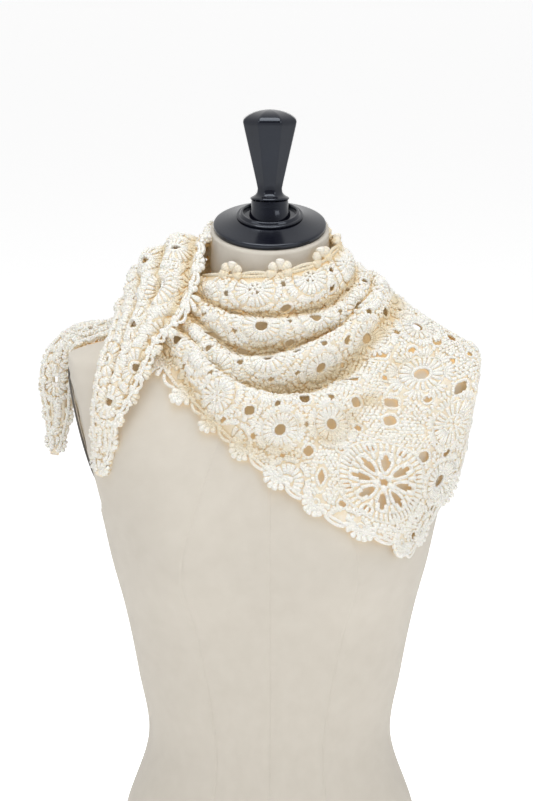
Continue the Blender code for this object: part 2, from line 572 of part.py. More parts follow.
def cape_openings():
    """All openings of the shawl round the neck: the star, the medallions that show, then the rest in rows."""
    star = cape_flat(math.radians(STAR_AZIMUTH), STAR_LENGTH)
    shown = [cape_flat(math.radians(turn), length * MM) for turn, length in MEDALLIONS]
    c, s = math.cos(math.radians(MEDALLION_TURN)), math.sin(math.radians(MEDALLION_TURN))
    axes = np.array([[c, s], [-s, c]]) * PITCH
    taken = np.array([star, *shown])
    room = np.array([STAR_RADIUS + CORNER_AT / 2] + [PITCH * 0.86] * len(shown))
    rows = []
    for i in range(-14, 15):
        for j in range(-14, 15):
            node = shown[0] + i * axes[0] + j * axes[1]
            turn, length = cape_round(node[None])
            on_cloth = math.radians(CAPE_START) < turn[0] < math.radians(CAPE_END) and 0 < length[0] < LONGEST
            if on_cloth and (np.linalg.norm(taken - node, axis=1) > room).all():
                rows.append(node)
    kept = star_openings(star)
    for turn, length, radius, stretch, lean in GAPS:
        middle = cape_flat(math.radians(turn), length * MM)
        kept.append((middle, radius * MM, 6, stretch, math.radians(lean)))
    for hole in medallion_openings(shown) + medallion_openings(rows):
        middles = np.array([other[0] for other in kept])
        reach = np.array([other[1] * other[3] for other in kept])
        if (np.linalg.norm(middles - hole[0], axis=1) - reach - hole[1] > HOLE_SPACING).all():
            kept.append(hole)
    return kept


def distance_to_line(points, line):
    """Least distance from each point to a closed flat polyline."""
    best = np.full(len(points), np.inf)
    for a, b in zip(line, np.roll(line, -1, axis=0)):
        along = b - a
        t = np.clip(((points - a) @ along) / max(along @ along, 1e-12), 0, 1)
        best = np.minimum(best, np.linalg.norm(points - a - t[:, None] * along, axis=1))
    return best


def inside_line(points, line):
    inside = np.zeros(len(points), bool)
    for a, b in zip(line, np.roll(line, -1, axis=0)):
        crosses = (a[1] > points[:, 1]) != (b[1] > points[:, 1])
        with np.errstate(divide="ignore", invalid="ignore"):
            at = a[0] + (points[:, 1] - a[1]) * (b[0] - a[0]) / (b[1] - a[1])
        inside ^= crosses & (points[:, 0] < at)
    return inside


def kept_openings(holes, outline):
    """The holes that lie wholly inside the outline, as polygons with their middles and radii."""
    centres = np.array([hole[0] for hole in holes])
    reach = np.array([hole[1] * hole[3] for hole in holes])
    room = distance_to_line(centres, outline)
    fits = inside_line(centres, outline) & (room > reach + HOLE_MARGIN)
    polygons = []
    for fit, (centre, radius, sides, stretch, turn) in zip(fits, holes):
        if fit:
            polygons.append(opening(centre, radius, sides, stretch, turn))
    return polygons, centres[fits], reach[fits]


def filling(outline, centres, reach, candidates):
    """Inner points of the flat sheet, clear of its edge and of its holes."""
    keep = inside_line(candidates, outline) & (distance_to_line(candidates, outline) > OUTLINE_ROOM)
    candidates = candidates[keep]
    if len(centres):
        gaps = np.linalg.norm(candidates[:, None] - centres[None], axis=2) - reach[None]
        candidates = candidates[gaps.min(axis=1) > HOLE_ROOM]
    return candidates


def lace_wall(name, outline, polygons, inner, to_space, material):
    """A wall of even thickness on a surface, cut out in the flat with its holes."""
    loops = [np.asarray(outline)] + [np.asarray(polygon) for polygon in polygons]
    points = np.concatenate(loops + [inner])
    faces = []
    start = 0
    for loop in loops:
        faces.append(list(range(start, start + len(loop))))
        start += len(loop)
    scale = 1000.0
    flat = [tuple(point * scale) for point in points]
    verts, _, tris, _, _, origin = delaunay_2d_cdt(flat, [], faces, 1, 1e-4)
    verts = np.array([tuple(vert) for vert in verts]) / scale
    tris = [list(tri) for tri, source in zip(tris, origin) if list(source) == [0]]
    used = sorted({vert for tri in tris for vert in tri})
    index = {vert: place for place, vert in enumerate(used)}
    tris = [[index[vert] for vert in tri] for tri in tris]
    verts = verts[used]
    middle, normal = to_space(verts)
    outer = middle + normal * CLOTH / 2
    inward = middle - normal * CLOTH / 2
    count = len(verts)
    directed = {}
    for tri in tris:
        for a, b in zip(tri, tri[1:] + tri[:1]):
            directed[(a, b)] = True
    solid = [list(tri) for tri in tris]
    solid += [[vert + count for vert in tri[::-1]] for tri in tris]
    for a, b in directed:
        if (b, a) not in directed:
            solid.append([b, a, a + count])
            solid.append([b, a + count, b + count])
    add_solid(name, np.concatenate([outer, inward]), solid, material)


def cape_inner(surface, first, last):
    """Inner points of the cape: on each fold line, between them, and evenly down the lower panel."""
    rows = np.arange(first, last, INNER_STEP_AROUND)
    marks = np.array([np.interp(rows, surface["rows"], mark) for mark in surface["marks"].T])
    between = (marks[1:] + marks[:-1]) / 2
    steps = np.arange(1, 25)[:, None] * INNER_STEP_BELOW
    length = np.concatenate([marks[1:], between, marks[-1] + steps])
    turn = rows + np.zeros_like(length)
    turn[:len(marks) - 1] += INNER_STEP_AROUND / 2
    turn[2 * len(marks) - 2::2] += INNER_STEP_AROUND / 2
    shifted = np.empty_like(length)
    for row in range(len(length)):
        shifted[row] = np.interp(turn[row], rows, length[row])
    return cape_flat(turn.ravel(), shifted.ravel())


def build_cape(surface, material):
    """The shawl round the neck, in a front and a back stretch that meet over the shoulder."""

    def to_space(flat):
        azimuth, length = cape_round(flat)
        return sample_grid(surface, azimuth, length)

    holes = cape_openings()
    seam = math.radians(CAPE_SEAM)
    half_gap = SEAM_GAP / 2 / (80 * MM)
    stretches = (("shawl_front", math.radians(CAPE_START), seam - half_gap),
                 ("shawl_back", seam + half_gap, math.radians(CAPE_END)))
    for name, first, last in stretches:
        azimuths = np.linspace(first, last, 300)
        hem = cape_flat(azimuths, np.interp(azimuths, surface["rows"], surface["hem"]))
        neck = cape_flat(azimuths, np.zeros(300))
        hem_line = scalloped(hem, FLOWER_PITCH_HEM, 1)
        neck_line = scalloped(neck, FLOWER_PITCH_NECK, -1)
        for line in (hem_line, neck_line):
            azimuth, length = cape_round(line)
            line[:] = cape_flat(np.clip(azimuth, first, last), length)
        azimuth, length = cape_round(np.stack([neck_line[0], hem_line[0], neck_line[-1], hem_line[-1]]))
        share = np.linspace(0, 1, 24)[1:-1]
        down = cape_flat(np.full(22, first), length[0] + (length[1] - length[0]) * share)
        up = cape_flat(np.full(22, last), length[3] + (length[2] - length[3]) * share)
        outline = np.concatenate([hem_line, up, neck_line[::-1], down])
        polygons, centres, reach = kept_openings(holes, outline)
        inner = filling(outline, centres, reach, cape_inner(surface, first, last))
        lace_wall(name, outline, polygons, inner, to_space, material)


def surface_tree(points):
    """Search tree of a grid surface."""
    rows, columns = points.shape[:2]
    faces = []
    for i in range(rows - 1):
        for j in range(columns - 1):
            corner = i * columns + j
            faces.append((corner, corner + 1, corner + columns + 1, corner + columns))
    return BVHTree.FromPolygons([tuple(point) for point in points.reshape(-1, 3)], faces)


def rest_on(points, facing, trees):
    """Lift each point of a coarse grid along its facing until it lies its step above all that is under it."""
    lift = np.zeros(points.shape[:2])
    for i, j in np.ndindex(*lift.shape):
        upward = Vector(facing[i])
        place = Vector(points[i, j])
        for tree, step in trees:
            hit = tree.ray_cast(place + upward * REST_REACH, -upward, 2 * REST_REACH)[0]
            if hit is not None:
                lift[i, j] = max(lift[i, j], (hit - place).dot(upward) + step)
    for _ in range(4):
        padded = np.pad(lift, 1, mode="edge")
        round_about = (padded[:-2, 1:-1] + padded[2:, 1:-1] + padded[1:-1, :-2] + padded[1:-1, 2:]) / 4
        lift = np.maximum(lift, (lift + round_about) / 2)
    return lift


def end_surface(rows, trees):
    """Grid of an end of the shawl: along it and across it, wider than its cut edge for the flowers."""
    table = np.array(rows, float)
    table[:, :6] *= MM
    key = np.concatenate([[0], np.cumsum(np.linalg.norm(np.diff(table[:, :3], axis=0), axis=1))])
    along = np.linspace(0, key[-1], 91)
    dense = smooth_rows(key, table, along)
    centre, half, arch, pleat, facing = dense[:, :3], dense[:, 3], dense[:, 4], dense[:, 5], dense[:, 6:]
    tangent = np.gradient(centre, axis=0)
    tangent /= np.linalg.norm(tangent, axis=1, keepdims=True)
    side = np.cross(tangent, facing)
    side /= np.linalg.norm(side, axis=1, keepdims=True)
    facing = np.cross(side, tangent)
    across = np.linspace(-1.6, 1.6, 65)
    lateral = half[:, None] * across
    rise = -arch[:, None] * across**2 + pleat[:, None] * np.cos(math.pi * END_PLEATS * across)
    points = centre[:, None] + lateral[..., None] * side[:, None] + rise[..., None] * facing[:, None]
    coarse = rest_on(points[::3, ::4], facing[::3], trees)
    lift = smooth_rows(across[::4], smooth_rows(along[::3], coarse, along).T, across).T
    points = points + np.maximum(lift, 0)[..., None] * facing[:, None]
    steps = np.linalg.norm(np.diff(points, axis=1), axis=2)
    core = np.abs((across[1:] + across[:-1]) / 2) < 1
    half_cloth = steps[:, core].sum(axis=1) / 2
    normals = grid_normals(points)
    outward = np.sign(np.sum(normals * facing[:, None], axis=-1).sum())
    run = np.concatenate([[0], np.cumsum(np.linalg.norm(np.diff(centre, axis=0), axis=1))])
    return {"points": points, "normals": normals * outward, "rows": run, "columns": across}, half_cloth


def build_end(name, rows, trees, material):
    surface, half_cloth = end_surface(rows, trees)
    total = surface["rows"][-1]

    def to_space(flat):
        half = np.interp(flat[:, 0], surface["rows"], half_cloth)
        return sample_grid(surface, flat[:, 0], flat[:, 1] / half)

    length = np.linspace(0, total - 2 * MM, 120)
    half = np.interp(length, surface["rows"], half_cloth)
    right = scalloped(np.stack([length, half], -1), FLOWER_PITCH_HEM, -1, FLOWER_RISE_ENDS)
    left = scalloped(np.stack([length, -half], -1), FLOWER_PITCH_HEM, 1, FLOWER_RISE_ENDS, 0.6)
    right[:, 0] = np.clip(right[:, 0], 0, total)
    left[:, 0] = np.clip(left[:, 0], 0, total)
    start = np.linspace(right[0], left[0], 12)[1:-1]
    outline = np.concatenate([right[::-1], start, left])
    eyes = []
    for at in np.arange(END_EYE_FIRST, total - END_EYE_LAST, END_EYE_PITCH):
        width = np.interp(at, surface["rows"], half_cloth)
        rows_across = (-0.5, 0.5) if width > WIDE_END else (0.0,)
        for share in rows_across:
            eyes.append((np.array([at, share * width]), END_EYE, 5, 1.0, 0.0))
            beside = np.array([at + END_GAP_AFTER, share * width * 0.9 + END_GAP_ASIDE])
            eyes.append((beside, BRIDGE_EYE, 4, 1.0, 0.0))
    polygons, centres, reach = kept_openings(eyes, outline)
    step = END_STEP
    x, y = np.meshgrid(np.arange(step / 2, total, step), np.arange(-0.06, 0.06, step * 0.8))
    x = x + step / 2 * (np.arange(len(x)) % 2)[:, None]
    inner = filling(outline, centres, reach, np.stack([x.ravel(), y.ravel()], -1))
    lace_wall(name, outline, polygons, inner, to_space, material)
    return surface_tree(surface["points"])


for leftover in list(bpy.data.objects):
    bpy.data.objects.remove(leftover)

linen = colour_material("linen", (0.78, 0.74, 0.68), 0.9)
board = colour_material("board", (0.45, 0.36, 0.26), 0.7)
lacquer = colour_material("black lacquer", (0.012, 0.012, 0.014), 0.12)
plate_metal = colour_material("plate", (0.66, 0.63, 0.58), 0.6)
wool = colour_material("ivory wool", (0.87, 0.82, 0.72), 0.95)

build_board(board)
build_plate("arm_plate_left", -1, plate_metal)
build_plate("arm_plate_right", 1, plate_metal)
build_turned("neck_cap", CAP_PROFILE, lacquer)
build_turned("cap_ring", RING_PROFILE, lacquer)
build_turned("knob_stem", STEM_PROFILE, lacquer, sides=STEM_AROUND, leaning=False, axis=KNOB_AXIS, slant_foot=0.6)
build_turned("knob", KNOB_PROFILE, lacquer, sides=KNOB_AROUND, leaning=False, axis=KNOB_AXIS)
form = (build_form(linen), REST_STEP)
cape_grid = cape_surface()
build_cape(cape_grid, wool)
cape = (surface_tree(cape_grid["points"][:, :int(CAPE_TREE_REACH / LENGTH_STEP)]), OVERLAP_STEP)
back_end = (build_end("shawl_end_back", BACK_END, (form, cape), wool), OVERLAP_STEP)
build_end("shawl_end_front", FRONT_END, (form, cape, back_end), wool)
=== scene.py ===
# A crocheted lace shawl on a dress form: yarn, linen and black lacquer, around the fixed frame.
# The form faces -Y. Azimuths run from the side where the shawl is crossed (-X) through the front.
import math

import bpy
import numpy as np
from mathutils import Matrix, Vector
from mathutils.bvhtree import BVHTree


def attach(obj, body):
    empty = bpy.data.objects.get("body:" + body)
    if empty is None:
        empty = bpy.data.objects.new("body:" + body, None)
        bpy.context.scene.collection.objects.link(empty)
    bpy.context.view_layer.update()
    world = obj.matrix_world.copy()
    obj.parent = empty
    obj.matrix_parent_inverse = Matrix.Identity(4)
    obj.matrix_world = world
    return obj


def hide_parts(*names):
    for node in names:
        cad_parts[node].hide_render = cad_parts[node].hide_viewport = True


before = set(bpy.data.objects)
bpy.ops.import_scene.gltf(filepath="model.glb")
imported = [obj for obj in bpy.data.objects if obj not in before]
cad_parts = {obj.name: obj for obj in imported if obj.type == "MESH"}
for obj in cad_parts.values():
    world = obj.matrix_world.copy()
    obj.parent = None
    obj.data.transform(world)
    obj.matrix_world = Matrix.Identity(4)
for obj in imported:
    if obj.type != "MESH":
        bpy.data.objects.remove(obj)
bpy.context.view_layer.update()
mm = 0.001
random = np.random.default_rng(7)

# Camera at the photograph's angle, level with the shawl and looking slightly down.
view = {"distance": 1.9, "elevation": 12.0, "target": (-0.003, 0.0, 0.559), "lens": 91.8, "sensor": 36.0}
cameraData = bpy.data.cameras.new("camera")
cameraData.lens = view["lens"]
cameraData.sensor_width = view["sensor"]
camera = bpy.data.objects.new("camera", cameraData)
bpy.context.scene.collection.objects.link(camera)
rise = math.radians(view["elevation"])
back = Vector((0, -math.cos(rise), math.sin(rise)))
camera.location = Vector(view["target"]) + back * view["distance"]
camera.rotation_euler = (-back).to_track_quat("-Z", "Y").to_euler()
bpy.context.scene.camera = camera
print("camera placed")


# Small helpers for curves through tables and for meshes.
def smoothRows(keys, values, at):
    # Cubic curve through the rows of a table; each slope is the mean of its two neighbours.
    keys = np.asarray(keys, float)
    values = np.asarray(values, float)
    at = np.atleast_1d(np.asarray(at, float))
    shape = (-1,) + (1,) * (values.ndim - 1)
    step = np.diff(keys).reshape(shape)
    slope = np.diff(values, axis=0) / step
    share = step[:-1] / (step[:-1] + step[1:])
    tangent = np.concatenate([slope[:1], slope[:-1] * (1 - share) + slope[1:] * share, slope[-1:]])
    row = np.clip(np.searchsorted(keys, at, side="right") - 1, 0, len(keys) - 2)
    gap = step[row]
    t = (at - keys[row]).reshape(shape) / gap
    start = (2 * t**3 - 3 * t**2 + 1) * values[row] + (t**3 - 2 * t**2 + t) * gap * tangent[row]
    end = (3 * t**2 - 2 * t**3) * values[row + 1] + (t**3 - t**2) * gap * tangent[row + 1]
    return start + end


def unit(vectors):
    return vectors / np.maximum(np.linalg.norm(vectors, axis=-1, keepdims=True), 1e-12)


def meshFromArrays(name, points, groups, material, smooth=True, paintedShade=None):
    # A mesh from points and groups of faces; a group is (faces as rows of indices, uv for each corner or
    # None).
    mesh = bpy.data.meshes.new(name)
    loops = np.concatenate([faces.ravel() for faces, _ in groups])
    totals = np.concatenate([np.full(len(faces), faces.shape[1]) for faces, _ in groups])
    starts = np.concatenate([[0], np.cumsum(totals)[:-1]])
    mesh.vertices.add(len(points))
    mesh.vertices.foreach_set("co", np.asarray(points, np.float32).ravel())
    mesh.loops.add(len(loops))
    mesh.loops.foreach_set("vertex_index", loops.astype(np.int32))
    mesh.polygons.add(len(totals))
    mesh.polygons.foreach_set("loop_start", starts.astype(np.int32))
    mesh.polygons.foreach_set("loop_total", totals.astype(np.int32))
    uvs = [np.zeros((faces.size, 2)) if uv is None else uv.reshape(-1, 2) for faces, uv in groups]
    layer = mesh.uv_layers.new(name="surface")
    layer.data.foreach_set("uv", np.concatenate(uvs).astype(np.float32).ravel())
    mesh.update(calc_edges=True)
    mesh.validate()
    mesh.polygons.foreach_set("use_smooth", np.full(len(mesh.polygons), smooth))
    mesh.materials.append(material)
    # How far each point sinks in a fold valley, which the wool's material paints as shade.
    if paintedShade is not None:
        mesh.attributes.new("paintedShade", "FLOAT", "POINT").data.foreach_set("value", paintedShade.astype(np.float32))
    made = bpy.data.objects.new(name, mesh)
    bpy.context.scene.collection.objects.link(made)
    return made


def gridFaces(rows, columns, wrap=False):
    # Corner indices of a grid's quads, running round when wrap is set.
    i, j = np.meshgrid(np.arange(rows - 1), np.arange(columns if wrap else columns - 1), indexing="ij")
    a = (i * columns + j).ravel()
    b = (i * columns + (j + 1) % columns).ravel()
    return np.stack([a, b, b + columns, a + columns], -1)


def turnedPiece(name, rings, material):
    # A closed piece from rings of points: walls between the rings and a flat face on each end.
    levels, around = rings.shape[:2]
    quads = gridFaces(levels, around, wrap=True)
    left = quads[:, 0] % around
    u = np.stack([left, left + 1, left + 1, left], -1)
    v = quads // around
    uv = np.stack([u / around, v / levels], -1)
    bottom = np.arange(around)[::-1][None]
    top = (np.arange(around) + (levels - 1) * around)[None]
    points = rings.reshape(-1, 3)
    middle = points.mean(axis=0)
    a, b, c = points[quads[:, 0]], points[quads[:, 1]], points[quads[:, 2]]
    if np.sum(np.cross(b - a, c - a) * (a - middle)) < 0:
        quads, uv, bottom, top = quads[:, ::-1], uv[:, ::-1], bottom[:, ::-1], top[:, ::-1]
    return meshFromArrays(name, points, [(quads, uv), (bottom, None), (top, None)], material)


# Shader helpers.
def addNode(tree, kind, inputs=(), **settings):
    made = tree.nodes.new(kind)
    for key, value in settings.items():
        setattr(made, key, value)
    for key, value in dict(inputs).items():
        if isinstance(value, bpy.types.NodeSocket):
            tree.links.new(value, made.inputs[key])
        else:
            made.inputs[key].default_value = value
    return made


def newMaterial(name):
    material = bpy.data.materials.new(name)
    material.use_nodes = True
    return material, material.node_tree, material.node_tree.nodes["Principled BSDF"]


def ramp(tree, factor, stops):
    made = addNode(tree, "ShaderNodeValToRGB", {"Fac": factor})
    elements = made.color_ramp.elements
    while len(elements) < len(stops):
        elements.new(0.5)
    for element, (place, colour) in zip(elements, stops):
        element.position = place
        element.color = (*colour, 1)
    return made.outputs["Color"]


def maths(tree, operation, *values):
    return addNode(tree, "ShaderNodeMath", dict(enumerate(values)), operation=operation).outputs[0]


def multiplied(tree, first, second):
    return addNode(tree, "ShaderNodeMix", {0: 1.0, 6: first, 7: second}, data_type="RGBA",
                   blend_type="MULTIPLY").outputs[2]


def setSockets(shader, values):
    for key, value in values.items():
        shader.inputs[key].default_value = value


def bumpLayers(tree, shader, *layers):
    # Bumps laid one over the other; each layer is height, distance and strength.
    below = {}
    for height, distance, strength in layers:
        made = addNode(tree, "ShaderNodeBump", {"Height": height, "Distance": distance, "Strength": strength, **below})
        below = {"Normal": made.outputs["Normal"]}
    tree.links.new(made.outputs["Normal"], shader.inputs["Normal"])


def fibreGroup():
    # Loose fibre over a surface: a soft mottle for the colour and a fine height for the bump.
    group = bpy.data.node_groups.new("fibre", "ShaderNodeTree")
    for name, kind in (("Vector", "NodeSocketVector"), ("Mottle Scale", "NodeSocketFloat"),
                       ("Fibre Scale", "NodeSocketFloat")):
        group.interface.new_socket(name=name, in_out="INPUT", socket_type=kind)
    for name in ("Mottle", "Height"):
        group.interface.new_socket(name=name, in_out="OUTPUT", socket_type="NodeSocketFloat")
    start = group.nodes.new("NodeGroupInput").outputs
    end = group.nodes.new("NodeGroupOutput").inputs
    mottle = addNode(group, "ShaderNodeTexNoise", {"Vector": start["Vector"], "Scale": start["Mottle Scale"],
                                                   "Detail": 3.0, "Roughness": 0.6})
    fibre = addNode(group, "ShaderNodeTexNoise", {"Vector": start["Vector"], "Scale": start["Fibre Scale"],
                                                  "Detail": 5.0, "Roughness": 0.7, "Distortion": 1.2})
    group.links.new(mottle.outputs["Fac"], end["Mottle"])
    group.links.new(fibre.outputs["Fac"], end["Height"])
    return group


fibre = fibreGroup()


def placeFibre(tree, mottleScale, fibreScale):
    place = addNode(tree, "ShaderNodeTexCoord").outputs["Object"]
    made = addNode(tree, "ShaderNodeGroup", node_tree=fibre)
    tree.links.new(place, made.inputs["Vector"])
    made.inputs["Mottle Scale"].default_value = mottleScale
    made.inputs["Fibre Scale"].default_value = fibreScale
    return made.outputs["Mottle"], made.outputs["Height"]


# The wool: colours on the yarn's back, side and under side (lighter on top and darker beneath, as painted shade), its
# twist in mm, and the warm painted shade where it lies sunk among the stitches and in fold valleys.
yarnLook = {
    "top": (0.775, 0.76, 0.71), "middle": (0.765, 0.73, 0.65), "shadedUnder": (0.74, 0.67, 0.54),
    "twist": 2.3, "twistHeight": 0.3 * mm, "fibreHeight": 0.45 * mm,
    "filter": (1.0, 0.94, 0.82), "paintedShade": (0.89, 0.75, 0.52), "paintedShadeReach": 15 * mm,
    "valley": (0.88, 0.77, 0.59),
    # The ground's colours are darker and warmer than the yarn's: painted shade between the stitches.
    "webDark": (0.76, 0.68, 0.54), "webLight": (0.79, 0.74, 0.64), "webHeight": 1.2 * mm,
    "surface": {"Roughness": 0.9, "Sheen Weight": 0.1, "Sheen Roughness": 0.5, "Subsurface Weight": 0.12,
                "Subsurface Radius": (1.0, 0.7, 0.42), "Subsurface Scale": 1.0 * mm, "Specular IOR Level": 0.15},
}


def woolShader(shader, colour):
    # Matte wool: the colour, times a warm painted shade where little is open round about, times another painted shade
    # in the valleys of the folds.
    # Light that passes through the wool on its way to what lies behind is filtered
    # warm.
    tree = shader.id_data
    # Painted shade in crevices: the colour darkens warm where little is open round about.
    openness = addNode(tree, "ShaderNodeAmbientOcclusion", {"Distance": yarnLook["paintedShadeReach"]}, samples=6)
    creviceShade = ramp(tree, openness.outputs["AO"], ((0.03, yarnLook["paintedShade"]), (0.42, (1, 1, 1))))
    # Painted shade in the fold valleys, from the mesh attribute of how far each point sinks in a fold.
    valley = addNode(tree, "ShaderNodeAttribute", attribute_name="paintedShade").outputs["Fac"]
    shade = ramp(tree, valley, ((0.0, (1, 1, 1)), (1.0, yarnLook["valley"])))
    tree.links.new(multiplied(tree, multiplied(tree, colour, creviceShade), shade), shader.inputs["Base Color"])
    passing = addNode(tree, "ShaderNodeBsdfTransparent", {"Color": (*yarnLook["filter"], 1)}).outputs["BSDF"]
    shadow = addNode(tree, "ShaderNodeLightPath").outputs["Is Shadow Ray"]
    mix = addNode(tree, "ShaderNodeMixShader", {0: shadow, 1: shader.outputs["BSDF"], 2: passing})
    tree.links.new(mix.outputs["Shader"], tree.nodes["Material Output"].inputs["Surface"])
    setSockets(shader, yarnLook["surface"])


def yarnMaterial():
    # Ivory wool: plies twist along the yarn, its top is painted lighter and its under side darker and warmer as painted
    # shade, and fibre roughens it.
    material, tree, shader = newMaterial("ivoryYarn")
    uv = addNode(tree, "ShaderNodeUVMap", uv_map="surface").outputs["UV"]
    along = addNode(tree, "ShaderNodeSeparateXYZ", {"Vector": uv})
    mottle, height = placeFibre(tree, 60.0, 1100.0)
    turns = maths(tree, "MULTIPLY", along.outputs["X"], 1 / yarnLook["twist"])
    phase = maths(tree, "ADD", turns, along.outputs["Y"])
    ply = maths(tree, "SINE", maths(tree, "MULTIPLY", phase, 2 * math.pi))
    # Painted shade: the yarn's top is painted lighter and its under side darker and warmer by the way it faces, mixed
    # with a random mottle.
    facing = maths(tree, "COSINE", maths(tree, "MULTIPLY", along.outputs["Y"], 2 * math.pi))
    under = addNode(tree, "ShaderNodeMapRange", {"Value": facing, "From Min": -0.9, "From Max": 0.35}).outputs[0]
    mottleAndShade = maths(tree, "MULTIPLY_ADD", mottle, 0.35, under)
    colours = ((0.25, yarnLook["shadedUnder"]), (0.75, yarnLook["middle"]), (1.0, yarnLook["top"]))
    woolShader(shader, ramp(tree, mottleAndShade, colours))
    bumpLayers(tree, shader, (ply, yarnLook["twistHeight"], 0.7), (height, yarnLook["fibreHeight"], 0.8))
    return material


def webMaterial():
    # The closely worked ground between the stitches, coloured darker and warmer than the yarn as painted shade.
    material, tree, shader = newMaterial("shadedWeb")
    mottle, height = placeFibre(tree, 150.0, 520.0)
    woolShader(shader, ramp(tree, mottle, ((0.3, yarnLook["webDark"]), (0.65, yarnLook["webLight"]))))
    bumpLayers(tree, shader, (height, yarnLook["webHeight"], 0.9))
    return material


linenLook = {
    "light": (0.57, 0.527, 0.46), "dark": (0.54, 0.497, 0.43), "pitch": 0.85 * mm, "height": 0.12 * mm,
    "under": (0.85, 0.74, 0.56), "underReach": 16 * mm, "openFrom": 0.08, "openTo": 0.58,
    "surface": {"Roughness": 0.9, "Sheen Weight": 0.15, "Specular IOR Level": 0.25},
}


def linenMaterial():
    # Plain weave linen: warp and weft from the cover's own UV in metres, with uneven slubs, and a warmer,
    # lighter colour close under the wool, which stands in for the light that the wool lets through.
    material, tree, shader = newMaterial("naturalLinen")
    uv = addNode(tree, "ShaderNodeUVMap", uv_map="surface").outputs["UV"]
    mottle, height = placeFibre(tree, 22.0, 900.0)
    slub = addNode(tree, "ShaderNodeTexNoise", {"Vector": uv, "Scale": 60.0, "Detail": 4.0})
    turned = addNode(tree, "ShaderNodeVectorMath", {0: uv, "Scale": 2 * math.pi / linenLook["pitch"]},
                     operation="SCALE")
    threads = addNode(tree, "ShaderNodeSeparateXYZ", {"Vector": turned.outputs[0]})
    warp = maths(tree, "SINE", threads.outputs["X"])
    weft = maths(tree, "SINE", threads.outputs["Y"])
    weave = maths(tree, "ADD", maths(tree, "MULTIPLY", warp, weft), slub.outputs["Fac"])
    shade = maths(tree, "MULTIPLY_ADD", mottle, 0.5, slub.outputs["Fac"])
    plain = ramp(tree, shade, ((0.45, linenLook["dark"]), (0.95, linenLook["light"])))
    openness = addNode(tree, "ShaderNodeAmbientOcclusion", {"Distance": linenLook["underReach"]}, samples=6)
    limits = {"From Min": linenLook["openFrom"], "From Max": linenLook["openTo"], "To Min": 1.0, "To Max": 0.0}
    covered = addNode(tree, "ShaderNodeMapRange", {"Value": openness.outputs["AO"], **limits}).outputs[0]
    lit = addNode(tree, "ShaderNodeMix", {0: covered, 6: plain, 7: (*linenLook["under"], 1)}, data_type="RGBA")
    tree.links.new(lit.outputs[2], shader.inputs["Base Color"])
    setSockets(shader, linenLook["surface"])
    bumpLayers(tree, shader, (weave, linenLook["height"], 0.6), (height, 0.1 * mm, 0.4))
    return material


def lacquerMaterial():
    # Black lacquer on turned wood: glossy, a little uneven in its gloss.
    material, tree, shader = newMaterial("blackLacquer")
    mottle, height = placeFibre(tree, 40.0, 600.0)
    tree.links.new(ramp(tree, mottle, ((0.3, (0.003, 0.003, 0.006)), (0.75, (0.006, 0.007, 0.012)))),
                   shader.inputs["Base Color"])
    limits = {"From Min": 0.3, "From Max": 0.8, "To Min": 0.1, "To Max": 0.22}
    rough = addNode(tree, "ShaderNodeMapRange", {"Value": mottle, **limits})
    tree.links.new(rough.outputs[0], shader.inputs["Roughness"])
    setSockets(shader, {"Specular IOR Level": 0.36, "Coat Weight": 0.1, "Coat Roughness": 0.04,
                        "Specular Tint": (0.80, 0.88, 1.0, 1)})
    bumpLayers(tree, shader, (height, 0.02 * mm, 0.15))
    return material


def plateMaterial(name, light, dark):
    material, tree, shader = newMaterial(name)
    mottle, height = placeFibre(tree, 30.0, 500.0)
    tree.links.new(ramp(tree, mottle, ((0.3, dark), (0.7, light))), shader.inputs["Base Color"])
    setSockets(shader, {"Roughness": 0.55})
    bumpLayers(tree, shader, (height, 0.05 * mm, 0.3))
    return material


def woodMaterial():
    # Plain board: grain stretched along one axis.
    material, tree, shader = newMaterial("plainBoard")
    place = addNode(tree, "ShaderNodeTexCoord").outputs["Object"]
    stretch = addNode(tree, "ShaderNodeMapping", {"Vector": place, "Scale": (6.0, 90.0, 90.0)})
    grain = addNode(tree, "ShaderNodeTexNoise", {"Vector": stretch.outputs[0], "Scale": 1.5, "Detail": 6.0,
                                                 "Distortion": 0.6}).outputs["Fac"]
    tree.links.new(ramp(tree, grain, ((0.35, (0.27, 0.17, 0.09)), (0.65, (0.48, 0.34, 0.20)))),
                   shader.inputs["Base Color"])
    setSockets(shader, {"Roughness": 0.55})
    bumpLayers(tree, shader, (grain, 0.2 * mm, 0.5))
    return material


yarn, web, linen, lacquer = yarnMaterial(), webMaterial(), linenMaterial(), lacquerMaterial()
print("materials made")

